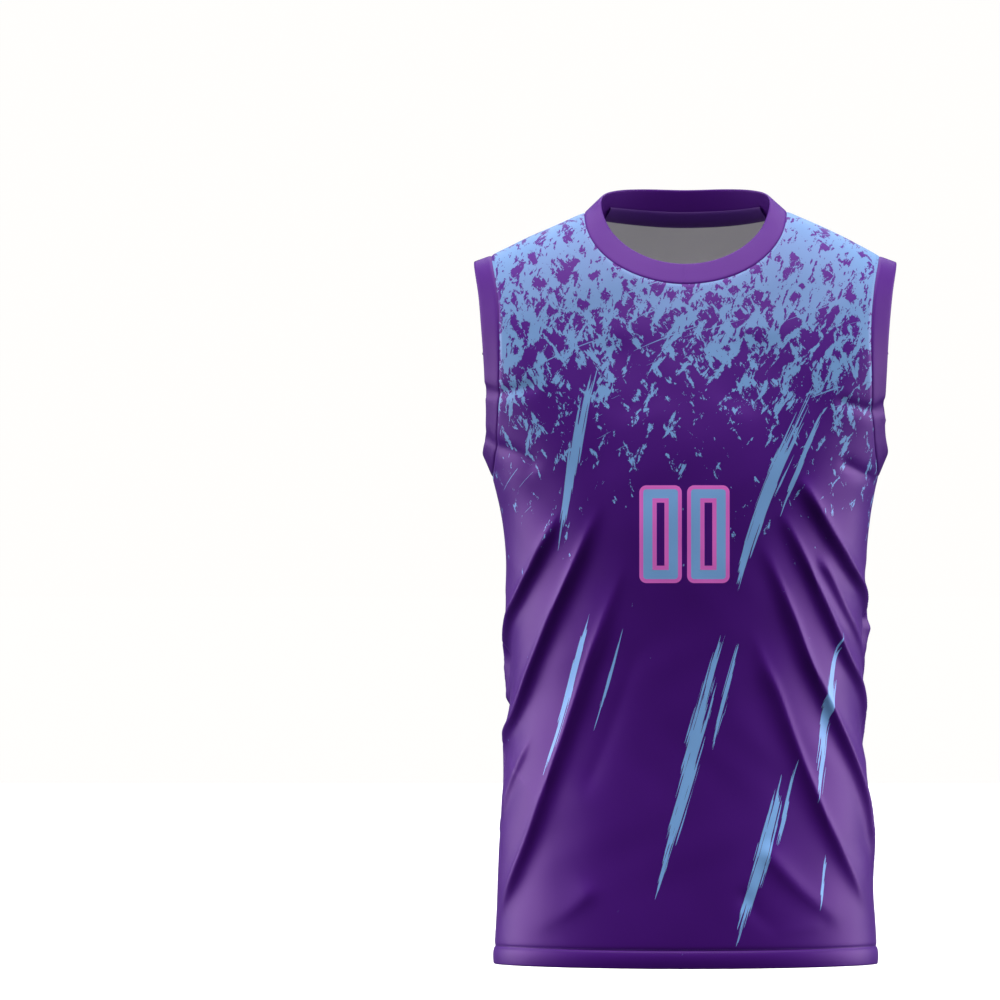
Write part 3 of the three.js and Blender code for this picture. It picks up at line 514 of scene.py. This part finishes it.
def fade(nodes, value, start, end):
    """1 where value is at start, falling to 0 where it is at end."""
    ramp = nodes.new("ShaderNodeMapRange")
    ramp.inputs["From Min"].default_value = start
    ramp.inputs["From Max"].default_value = end
    ramp.inputs["To Min"].default_value = 1
    ramp.inputs["To Max"].default_value = 0
    nodes.id_data.links.new(value, ramp.inputs["Value"])
    return ramp.outputs[0]


# Splatter of the yoke, thick on the shoulders and thinning down the chest, in flecks that lean both ways.
paint_load = fade(nodes, down, 0.08, 0.44)
patches = mottle(nodes, place, (60, 80), detail=1)
paint_load = calc(nodes, "ADD", paint_load, calc(nodes, "MULTIPLY", patches, 0.55))
bar = calc(nodes, "SUBTRACT", 0.8, calc(nodes, "MULTIPLY", paint_load, 0.25))
right_flecks = mottle(nodes, place, (12, 34), turn=0.5, detail=6, roughness=0.66)
left_flecks = mottle(nodes, place, (10, 26), turn=-0.45, detail=6, roughness=0.66)
gouges = mottle(nodes, place, (4, 13), turn=0.2, detail=3, roughness=0.6)
blots = calc(nodes, "GREATER_THAN", calc(nodes, "MAXIMUM", right_flecks, left_flecks), bar)
blots = calc(nodes, "MULTIPLY", blots, calc(nodes, "LESS_THAN", gouges, 0.6))

# Long strokes of a broad dry brush, slanting down to the wearer's right: start, end and half breadth
# of each on the print. Its bristles leave slits along it and fray its tapering ends.
STROKES = [
    ((-72, -176), (-138, -352), 7), ((112, -205), (52, -402), 9), ((128, -212), (97, -330), 3),
    ((40, -428), (-28, -690), 9.5), ((58, -440), (25, -560), 3.5), ((-2, -575), (-24, -668), 2.5),
    ((106, -560), (48, -746), 8), ((121, -552), (90, -652), 2.5), ((178, -420), (138, -604), 6.5),
    ((-98, -402), (-152, -566), 5), ((-66, -430), (-100, -530), 2), ((150, -640), (137, -704), 2.5),
]
bristles = mottle(nodes, place, (2.1, 90), turn=0.31, detail=2, roughness=0.6)
fray = calc(nodes, "MULTIPLY", calc(nodes, "SUBTRACT", bristles, 0.4), 2.6)
brushed = 0
for (x0, y0), (x1, y1), half_wide in STROKES:
    along = nodes.new("ShaderNodeMapping")
    along.vector_type = "TEXTURE"
    along.inputs["Location"].default_value = (x0 / 1000, y0 / 1000, 0)
    along.inputs["Rotation"].default_value = (0, 0, -np.arctan2(x0 - x1, y0 - y1))
    along.inputs["Scale"].default_value = (half_wide / 1000, np.hypot(x0 - x1, y0 - y1) / 1000, 1)
    nodes.id_data.links.new(place, along.inputs["Vector"])
    local = nodes.new("ShaderNodeSeparateXYZ")
    nodes.id_data.links.new(along.outputs["Vector"], local.inputs[0])
    gone = calc(nodes, "MULTIPLY", local.outputs[1], -1)
    taper = calc(nodes, "MULTIPLY", calc(nodes, "MULTIPLY", gone, calc(nodes, "SUBTRACT", 1, gone)), 4)
    needed = calc(nodes, "ADD", calc(nodes, "ABSOLUTE", local.outputs[0]), fray)
    brushed = calc(nodes, "MAXIMUM", brushed, calc(nodes, "GREATER_THAN", taper, needed))
# Scratches of a nearly dry brush across the chest.
scratches = mottle(nodes, place, (2.6, 120), turn=1.15, detail=2, roughness=0.5)
scratch_bar = calc(nodes, "SUBTRACT", 0.86, calc(nodes, "MULTIPLY", fade(nodes, down, 0.2, 0.42), 0.17))
scratched = calc(nodes, "GREATER_THAN", scratches, scratch_bar)
painted = calc(nodes, "MAXIMUM", calc(nodes, "MAXIMUM", blots, brushed), scratched)
# The blue fades from its darker painted-shade copy on the yoke to its lighter painted-light copy lower down.
blue = dyed(nodes, fade(nodes, down, 0.12, 0.4), BODY_BLUE_PAINTED_LIGHT, YOKE_BLUE_PAINTED_SHADE)
colour = dyed(nodes, painted, ground, blue)
colour = add_number(
    nodes, colour, middle=(-1, -323.8), half_gap=2.6, half_wide=21, half_high=48.3, radius=7.1,
    rings=((0, PINK), (3.9, BODY_BLUE_PAINTED_LIGHT), (12.9, PINK), (17.2, ground)),
)
nodes.id_data.links.new(colour, shader.inputs["Base Color"])
add_knit_relief(nodes, shader, place)

nodes, shader, place = knit_material("unprinted_reverse", roughness=0.75)
reverse = add_shade(nodes, place, (0.7, 0.71, 0.7, 1), (0.76, 0.76, 0.75, 1))
nodes.id_data.links.new(reverse, shader.inputs["Base Color"])
add_knit_relief(nodes, shader, place, strength=0.4)


def with_turned_hem(x, z, face):
    """The panel's points, with the hem's fold and the turned-up cloth inside as further rows below."""
    place, out, printed = cloth(face, x, z)
    above = [-1, 4, 9, 13, 15.5, 17, 18.5, 21, 30]
    rolled = np.interp(z - z[:1], above, [-0.2, 0.7, 1, 0.7, 0, -1.2, -0.4, 0, 0])
    place = place + out * rolled[..., None]
    lift = 2.2
    inside_rows = [9, 7, 5, 3, 1, 0]
    inner = place[inside_rows] - out[inside_rows] * lift
    down_way = place[0] - place[3]
    down_way /= np.linalg.norm(down_way, axis=-1, keepdims=True)
    bend = np.radians([150, 120, 90, 60, 30])[:, None, None]
    fold = place[0] + down_way * np.sin(bend) * lift / 2 - out[0] * (1 - np.cos(bend)) * lift / 2
    below = printed[:1] - np.array([0, 3, 0])
    rows = np.concatenate([inner, fold, place])
    return rows, np.concatenate([printed[inside_rows], np.repeat(below, 5, axis=0), printed]), np.concatenate(
        [-out[inside_rows], np.repeat(out[:1], 5, axis=0), out]
    )


def sunk_at_seams(places, out, seam_points, depth_in=0.9, reach=1.9):
    """Sinks the cloth a little along a seam, where the stitches pull it in."""
    flat = places.reshape(-1, 3)
    low = np.full(len(flat), 1e9)
    for chunk in np.array_split(np.arange(len(flat)), 40):
        gaps = np.linalg.norm(flat[chunk, None] - seam_points[None], axis=2)
        low[chunk] = gaps.min(axis=1)
    dip = depth_in * np.exp(-((low / reach) ** 2)).reshape(places.shape[:2])
    return places - out * dip[..., None]


corner_turn = 0.3
foot_x = np.linspace(armhole_x(STRAP_Z), NECK_HALF_WIDTH * np.cos(corner_turn), 400)
corner_z = -FRONT_NECK_DROP * np.sin(corner_turn)
foot_drop = np.linspace(shoulder_line(foot_x[0]) - STRAP_Z, shoulder_line(foot_x[-1]) - corner_z, 400)
foot = spaced(np.full(400, -1), foot_x, shoulder_line(foot_x) - foot_drop, STRAP_SHARES)
neck_turn = np.linspace(corner_turn, np.pi - corner_turn, 400)
neckline = spaced(
    np.full(400, -1), NECK_HALF_WIDTH * np.cos(neck_turn), -FRONT_NECK_DROP * np.sin(neck_turn), NECK_SHARES
)
top_x = np.r_[-foot[0], neckline[0][::-1][1:-1], foot[0][::-1]]
top_z = np.r_[foot[1], neckline[1][1:-1], foot[1][::-1]]
front_x, front_z = panel_body(-1, top_x, top_z, STRAP_Z)

blade_x = np.linspace(BLADE_SEAM_NECK_X, armhole_x(-105), 400)
blade_ease = ease(np.linspace(0, 8, 400))
neck_end = -BACK_NECK_DROP * (1 - (BLADE_SEAM_NECK_X / NECK_HALF_WIDTH) ** 2)
blade_z = neck_end * (1 - blade_ease) + (shoulder_line(blade_x) - read(BLADE_SEAM, blade_x)) * blade_ease
blade = spaced(np.full(400, 1), blade_x[::-1], blade_z[::-1], STRAP_SHARES)

tip_x = 190.0
for _ in range(40):
    tip_x = float(armhole_x(shoulder_line(tip_x)))
tip_z = float(shoulder_line(tip_x))
going = np.linspace(0, 1, 400)
outer_z = np.r_[STRAP_Z + (tip_z - STRAP_Z) * (1 - (1 - going) ** 2), tip_z + (blade[1][0] - tip_z) * going**2]
STRAP_ROWS = 36
row_shares = np.unique(np.r_[np.linspace(0, 1, STRAP_ROWS), 0.986])
outer = spaced(np.repeat([-1, 1], 400), armhole_x(outer_z), outer_z, row_shares)
over_turn = corner_turn * (1 - going) ** 2
inner_x = np.r_[NECK_HALF_WIDTH * np.cos(over_turn), NECK_HALF_WIDTH + (BLADE_SEAM_NECK_X - NECK_HALF_WIDTH) * going**2]
inner_z = np.r_[-FRONT_NECK_DROP * np.sin(over_turn), -BACK_NECK_DROP * (1 - (inner_x[400:] / NECK_HALF_WIDTH) ** 2)]
inner = spaced(np.repeat([-1, 1], 400), inner_x, inner_z, row_shares)


def over_shoulder(line):
    x, z, face = line
    return face * np.sqrt(np.maximum(0, shoulder_line(x) - z))


def strap_fill(of):
    """Fills a strap between its four edges, across in s and over the shoulder in t."""
    s, t = STRAP_SHARES[None, :], row_shares[:, None]
    low, high, left, right = of(foot)[None, :], of(blade)[None, :], of(outer)[:, None], of(inner)[:, None]
    corners = (1 - s) * (1 - t) * low[:, :1] + s * (1 - t) * low[:, -1:]
    corners = corners + (1 - s) * t * high[:, :1] + s * t * high[:, -1:]
    return (1 - t) * low + t * high + (1 - s) * left + s * right - corners


strap_x = strap_fill(lambda line: line[0])
strap_over = strap_fill(over_shoulder)
strap_z = shoulder_line(strap_x) - strap_over**2
strap_face = np.where(strap_over < 0, -1, 1)

front_places, front_printed, front_out = with_turned_hem(front_x, front_z, np.full(front_x.shape, -1))
columns = front_places.shape[1]
strap_columns = len(STRAP_SHARES)
empty = np.full((len(row_shares) - 1, columns - 2 * strap_columns, 3), np.nan)
left_strap = cloth(strap_face[1:], strap_x[1:], strap_z[1:])
right_strap = cloth(strap_face[1:], -strap_x[1:], strap_z[1:])
strap_rows = [
    np.concatenate([right_strap[k], empty, left_strap[k][:, ::-1]], axis=1) for k in range(3)
]
front_places = np.concatenate([front_places, strap_rows[0]])
front_out = np.concatenate([front_out, strap_rows[1]])
front_printed = np.concatenate([front_printed, strap_rows[2]])


def seam_line(face, x, z):
    place, out, _ = cloth(face, x, z)
    return place, out


# The neck seam and the armhole seam, as closed loops from the middle of the front and from the armpit.
LOOP_POINTS = 300
half_turn = np.linspace(np.pi / 2, 0, 600)
half_neck_x = np.r_[NECK_HALF_WIDTH * np.cos(half_turn), np.linspace(NECK_HALF_WIDTH, 0, 500)[1:]]
half_neck_z = np.r_[-FRONT_NECK_DROP * np.sin(half_turn), -BACK_NECK_DROP * (1 - (half_neck_x[600:] / NECK_HALF_WIDTH) ** 2)]
half_neck_face = np.r_[np.full(600, -1), np.full(499, 1)]
half_neck = spaced(half_neck_face, half_neck_x, half_neck_z, np.linspace(0, 1, LOOP_POINTS // 2 + 1))
neck_loop_x = np.r_[half_neck[0], -half_neck[0][-2:0:-1]]
neck_loop_z = np.r_[half_neck[1], half_neck[1][-2:0:-1]]
neck_loop_face = np.r_[half_neck[2], half_neck[2][-2:0:-1]]
neck_seam, neck_seam_out = seam_line(neck_loop_face, neck_loop_x, neck_loop_z)

arm_z = np.r_[np.linspace(ARMPIT_Z, tip_z, 500), np.linspace(tip_z, ARMPIT_Z, 500)[1:]]
arm_face = np.r_[np.full(500, -1), np.full(499, 1)]
arm_loop = spaced(arm_face, armhole_x(arm_z), arm_z, np.linspace(0, 1, LOOP_POINTS + 1)[:-1])
arm_seams = {
    "left": seam_line(arm_loop[2], arm_loop[0], arm_loop[1]),
    "right": seam_line(arm_loop[2], -arm_loop[0], arm_loop[1]),
}
side_z = np.linspace(HEM_Z, ARMPIT_Z, 200)
side_seams = [seam_line(np.full(200, -1), side * half_width(side_z), side_z)[0] for side in (-1, 1)]
blade_seams = [seam_line(np.full(400, 1), side * blade_x, blade_z)[0] for side in (-1, 1)]
seam_points = np.concatenate([neck_seam, arm_seams["left"][0], arm_seams["right"][0], *side_seams, *blade_seams])

front_places = sunk_at_seams(front_places, front_out, seam_points)
front = sheet_mesh("front_cloth", front_places, front_printed, ["front_print", "unprinted_reverse"])
finish_cloth(front, KNIT, inside=1)
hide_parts("front")
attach(front, "root")

# Back panel: plain purple knit with a large plain number, sewn to the front at the sides and along
# the seam on the shoulder blades, and hemmed as the front is.
BACK_PINK = (1, 0.06, 0.4, 1)
BACK_BLUE = (0.195, 0.43, 0.85, 1)
nodes, shader, place = knit_material("back_knit")
colour = add_shade(nodes, place, (0.058, 0.003, 0.195, 1), (0.07, 0.005, 0.225, 1))
plain_ground = colour
colour = add_number(
    nodes, colour, middle=(-1, -286.2), half_gap=6.1, half_wide=43, half_high=104.1, radius=14.5,
    rings=((0, BACK_PINK), (5.9, BACK_BLUE), (28.2, BACK_PINK), (34, plain_ground)),
)
nodes.id_data.links.new(colour, shader.inputs["Base Color"])
add_knit_relief(nodes, shader, place)

back_neck_x = np.linspace(BLADE_SEAM_NECK_X, -BLADE_SEAM_NECK_X, 400)
back_neckline = spaced(
    np.full(400, 1), back_neck_x, -BACK_NECK_DROP * (1 - (back_neck_x / NECK_HALF_WIDTH) ** 2), NECK_SHARES
)
top_x = np.r_[-blade[0], back_neckline[0][::-1][1:-1], blade[0][::-1]]
top_z = np.r_[blade[1], back_neckline[1][1:-1], blade[1][::-1]]
back_x, back_z = panel_body(1, top_x, top_z, float(blade[1][0]))
back_places, back_printed, back_out = with_turned_hem(back_x, back_z, np.full(back_x.shape, 1))
back_places = sunk_at_seams(back_places, back_out, seam_points)
back_printed = back_printed * np.array([1, -1, 1])
back = sheet_mesh("back_cloth", back_places[:, ::-1], back_printed[:, ::-1], ["back_knit", "unprinted_reverse"])
finish_cloth(back, KNIT, inside=1)
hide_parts("back")
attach(back, "root")

# Neck band: a strip of the same knit folded double, 20 mm wide, sewn round the neck with its fold
# as the free edge. It stands up behind and leans in over the neck in front.
nodes, shader, place = knit_material("doubled_band", roughness=0.52, sheen=0.03)
nodes.id_data.links.new(add_shade(nodes, place, (0.057, 0.003, 0.18, 1), (0.068, 0.005, 0.21, 1)), shader.inputs["Base Color"])
add_knit_relief(nodes, shader, place, strength=0.35)
NECK_EDGE_HEIGHT = {
    -20: -49.3, 0: -53.3, 20: -49.3, 40: -37.6, 60: -19.8, 75: -3.2, 90: 11, 105: 18.8, 125: 23.4,
    150: 25.2, 180: 24.6, 210: 25.2,
}
# The band's outline in section: along it from the seam, as a share of its width past the first
# millimetres, and how far in from its outer face.
BAND_SECTION = [
    (-1.8, 2.0), (-0.6, 1.5), (0.3, 0.9), (1.2, 0.3), (2.6, 0.04), (5, 0), (8, 0), (11, 0), (14, 0),
]
EDGE_SECTION = [(3.0, 0.0), (1.4, 0.12), (0.5, 0.45), (0, 1.1), (0.5, 1.75), (1.4, 2.08), (3.0, 2.2)]
FOOT_SECTION = [(14, 2.2), (9, 2.2), (4, 2.2), (0, 2.2), (-1.8, 2.2)]


def band_rows(seam, seam_out, edge, own_out):
    """A folded band swept round its seam: rows run from the seam out to the fold and back inside."""
    reach = edge - seam
    width = np.linalg.norm(reach, axis=1)[:, None]
    across = reach / width
    rows, printed = [], []
    run = np.cumsum(np.linalg.norm(np.diff(seam, axis=0, prepend=seam[-1:]), axis=1))
    section = [(a, b, 0) for a, b in BAND_SECTION] + [(a, b, 1) for a, b in EDGE_SECTION]
    section += [(a, b, 0) for a, b in FOOT_SECTION]
    for a, b, from_edge in section:
        at = width - a if from_edge else np.minimum(a, width - 3.2)
        lean = ease(2 * at / width)
        out = seam_out * (1 - lean) + own_out * lean
        out /= np.linalg.norm(out, axis=1, keepdims=True)
        rows.append(seam + across * at - out * b)
        printed.append(np.stack([run, at[:, 0] + 3 * b, 0 * run], axis=1))
    return np.array(rows), np.array(printed)


def away_from(seam_out, edge, across, away):
    """The band's own outward direction, square to its run and its width."""
    run = np.roll(edge, -1, axis=0) - np.roll(edge, 1, axis=0)
    own = np.cross(run, across)
    own /= np.linalg.norm(own, axis=1, keepdims=True)
    return own * np.sign((own * away).sum(axis=1))[:, None]


from_x = neck_seam[:, 0] / NECK_HALF_WIDTH
from_y = (neck_seam[:, 1] + 9) / 65
turn = np.arctan2(from_x, -from_y)
neck_edge = np.stack(
    [84.5 * np.sin(turn), -3 - 55 * np.cos(turn), read(NECK_EDGE_HEIGHT, np.abs(np.degrees(turn)))], axis=1
)
neck_own = away_from(neck_seam_out, neck_edge, neck_edge - neck_seam, np.stack([from_x, from_y, 0 * from_x], axis=1))
neck_rows, neck_printed = band_rows(neck_seam, neck_seam_out, neck_edge, neck_own)
neck_band = sheet_mesh("neck_band_cloth", neck_rows, neck_printed, ["doubled_band"], whole_round=True)
finish_cloth(neck_band)
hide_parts("neck_band")
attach(neck_band, "root")

# Armhole bands: the same folded strip round each armhole, 18 to 24 mm wide, turned in towards the arm.
ARM_BAND = {  # degrees round the arm from the shoulder forwards: width, reach outwards, reach inwards
    0: (18.5, 0.94, 0.34), 54: (22, 0.86, 0.51), 70: (22, 0.84, 0.54), 102: (22, 0.67, 0.74),
    128: (22, 0.53, 0.85), 150: (23, 0.5, 0.87), 180: (24, 0.38, 0.925), 210: (23.5, 0.5, 0.87),
    232: (23, 0.55, 0.835), 258: (23, 0.69, 0.72), 290: (23, 0.86, 0.51), 306: (22, 0.89, 0.45),
    360: (18.5, 0.94, 0.34),
}
for side, (seam, seam_out) in arm_seams.items():
    run = np.roll(seam, -1, axis=0) - np.roll(seam, 1, axis=0)
    inward = np.stack([0 * run[:, 0], -run[:, 2], run[:, 1]], axis=1)
    inward /= np.linalg.norm(inward, axis=1, keepdims=True)
    to_centre = np.array([0, 0, -152]) - seam * np.array([0, 1, 1])
    inward *= np.sign((inward * to_centre).sum(axis=1))[:, None]
    around = np.degrees(np.arctan2(-seam[:, 1] / 70, (seam[:, 2] + 152) / 110)) % 360
    across = inward * read(ARM_BAND, around, 2)[:, None]
    across[:, 0] = read(ARM_BAND, around, 1) * np.sign(seam[:, 0])
    across /= np.linalg.norm(across, axis=1, keepdims=True)
    edge = seam + across * read(ARM_BAND, around, 0)[:, None]
    own = away_from(seam_out, edge, across, -inward)
    rows, printed = band_rows(seam, seam_out, edge, own)
    if side == "right":
        rows, printed = rows[:, ::-1], printed[:, ::-1]
    band = sheet_mesh(f"armhole_band_{side}_cloth", rows, printed, ["doubled_band"], whole_round=True)
    finish_cloth(band)
    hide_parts(f"armhole_band_{side}")
    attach(band, "root")

# Neck tape: a narrow strip of knit over the neck seam inside the back, dyed darker than the band as painted shade, sewn
# down on the panel below the seam and on the band above it.
nodes, shader, place = knit_material("neck_tape_painted_shade_knit", roughness=0.6, sheen=0.15)
# The tape's dark dye is painted shade for the dim inside of the collar.
nodes.id_data.links.new(add_shade(nodes, place, (0.03, 0.006, 0.11, 1), (0.04, 0.008, 0.135, 1)), shader.inputs["Base Color"])
add_knit_relief(nodes, shader, place, strength=0.4)
TAPE = 0.8
on_back = (neck_loop_face > 0) & (np.abs(neck_loop_x) < BLADE_SEAM_NECK_X - 0.5)
tape_seam, tape_out = neck_seam[on_back], neck_seam_out[on_back]
tape_up = neck_edge[on_back] - tape_seam
tape_up /= np.linalg.norm(tape_up, axis=1, keepdims=True)
tape_own = neck_own[on_back]
lower, lower_out, _ = cloth(np.full(on_back.sum(), 1), neck_loop_x[on_back], neck_loop_z[on_back] - 6)
down_way = (lower - tape_seam) / 6
rows = []
TAPE_SECTION = (
    (-1.5, 1.95), (-1.4, 2.2), (-0.8, 2.7), (0.5, 3.25), (2.5, 3.6), (5, 3.7), (8, 3.6), (10.5, 3.3), (11.8, 2.9), (12, 2.6),
)
for at, clear in TAPE_SECTION:
    way = tape_up * at if at > 0 else -down_way * at
    lean = ease((at + 1) / 4)
    out = tape_out * (1 - lean) + tape_own * lean
    out /= np.linalg.norm(out, axis=1, keepdims=True)
    rows.append(tape_seam + way - out * clear)
tape_run = np.cumsum(np.linalg.norm(np.diff(tape_seam, axis=0, prepend=tape_seam[:1]), axis=1))
tape_printed = [np.stack([tape_run, 0 * tape_run + 2 * k, 0 * tape_run], axis=1) for k in range(len(rows))]
tape = sheet_mesh("neck_tape_cloth", np.array(rows), np.array(tape_printed), ["neck_tape_painted_shade_knit"])
finish_cloth(tape, TAPE)
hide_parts("neck_tape")
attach(tape, "root")

# Stitching: a lockstitch beside each seam on the outside and a twin needle row round the hem, in a
# thread of the cloth's own colour. One stitch is shaped, and copies of it are laid along each line.
thread = bpy.data.materials.new("purple_thread")
thread.use_nodes = True
thread_shader = thread.node_tree.nodes["Principled BSDF"]
thread_shader.inputs["Roughness"].default_value = 0.5
thread_places = thread.node_tree.nodes.new("ShaderNodeTexCoord").outputs["Object"]
twist = mottle(thread.node_tree.nodes, thread_places, (0.4, 0.4), detail=1)
thread_colour = dyed(thread.node_tree.nodes, twist, (0.05, 0.014, 0.15, 1), (0.12, 0.04, 0.3, 1))
thread.node_tree.links.new(thread_colour, thread_shader.inputs["Base Color"])
bpy.ops.mesh.primitive_uv_sphere_add(segments=6, ring_count=4, radius=1)
bpy.ops.transform.resize(value=(0.24, 0.22, 1.05))
bpy.ops.object.transform_apply(scale=True)
one_stitch = bpy.context.object
stitch_points = np.array([v.co for v in one_stitch.data.vertices])
stitch_faces = [tuple(f.vertices) for f in one_stitch.data.polygons]
bpy.data.objects.remove(one_stitch)
STITCH_PITCH = 2.7


def stitch_rows(name, lines):
    """Stitches along lines of points on the cloth, each lying in its line and half sunk in the knit."""
    points, faces = [], []
    for line, out in lines:
        run = np.cumsum(np.linalg.norm(np.diff(line, axis=0, prepend=line[:1]), axis=1))
        at = np.arange(STITCH_PITCH / 2, run[-1], STITCH_PITCH)
        spot, ahead, normal = (
            np.stack([np.interp(at + move, run, of[:, k]) for k in range(3)], axis=1)
            for of, move in ((line, 0), (line, 0.5), (out, 0))
        )
        along = ahead - spot
        along /= np.maximum(np.linalg.norm(along, axis=1, keepdims=True), 1e-9)
        side = np.cross(along, normal)
        side /= np.linalg.norm(side, axis=1, keepdims=True)
        for k in range(len(at)):
            base = len(points) * len(stitch_points)
            points.append(spot[k] + stitch_points @ np.stack([side[k], np.cross(side[k], along[k]), along[k]]))
            faces.extend(tuple(base + corner for corner in face) for face in stitch_faces)
    mesh = bpy.data.meshes.new(name)
    mesh.from_pydata((np.concatenate(points) / 1000).tolist(), [], faces)
    mesh.materials.append(thread)
    mesh.polygons.foreach_set("use_smooth", np.ones(len(mesh.polygons), bool))
    made = bpy.data.objects.new(name, mesh)
    bpy.context.scene.collection.objects.link(made)
    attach(made, "root")


def beside_seam(face, x, z, sunk=0.3):
    place, out, _ = cloth(face, x, z)
    return place - out * sunk, out


around_front = np.linspace(0.03, np.pi - 0.03, 500)
front_neck_line = beside_seam(
    np.full(500, -1), (NECK_HALF_WIDTH + 2.6) * np.cos(around_front), -(FRONT_NECK_DROP + 2.6) * np.sin(around_front)
)
across_back = np.linspace(-100, 100, 400)
back_neck_line = beside_seam(
    np.full(400, 1), across_back, -BACK_NECK_DROP * (1 - (across_back / NECK_HALF_WIDTH) ** 2) - 5, sunk=0.05
)
stitch_rows("neck_stitches", [front_neck_line, back_neck_line])
for side, turned in (("left", 1), ("right", -1)):
    line = beside_seam(arm_loop[2], turned * (arm_loop[0] - 2.6), arm_loop[1])
    stitch_rows(f"armhole_stitches_{side}", [line])
blade_rows = [beside_seam(np.full(400, 1), side * blade_x, blade_z - 2.6) for side in (-1, 1)]
stitch_rows("blade_seam_stitches", blade_rows)
hem_rows = []
for places, out in ((front_places, front_out), (back_places[:, ::-1], back_out[:, ::-1])):
    for above in (16.0, 18.9):
        rows = len(SIDE_HEIGHTS)
        line = np.stack([
            [np.interp(above, SIDE_HEIGHTS, of[11:11 + rows, column, k]) for k in range(3)]
            for of in (places,) for column in range(places.shape[1])
        ])
        line_out = out[11 + 8]
        hem_rows.append((line, line_out))
stitch_rows("hem_stitches", hem_rows)
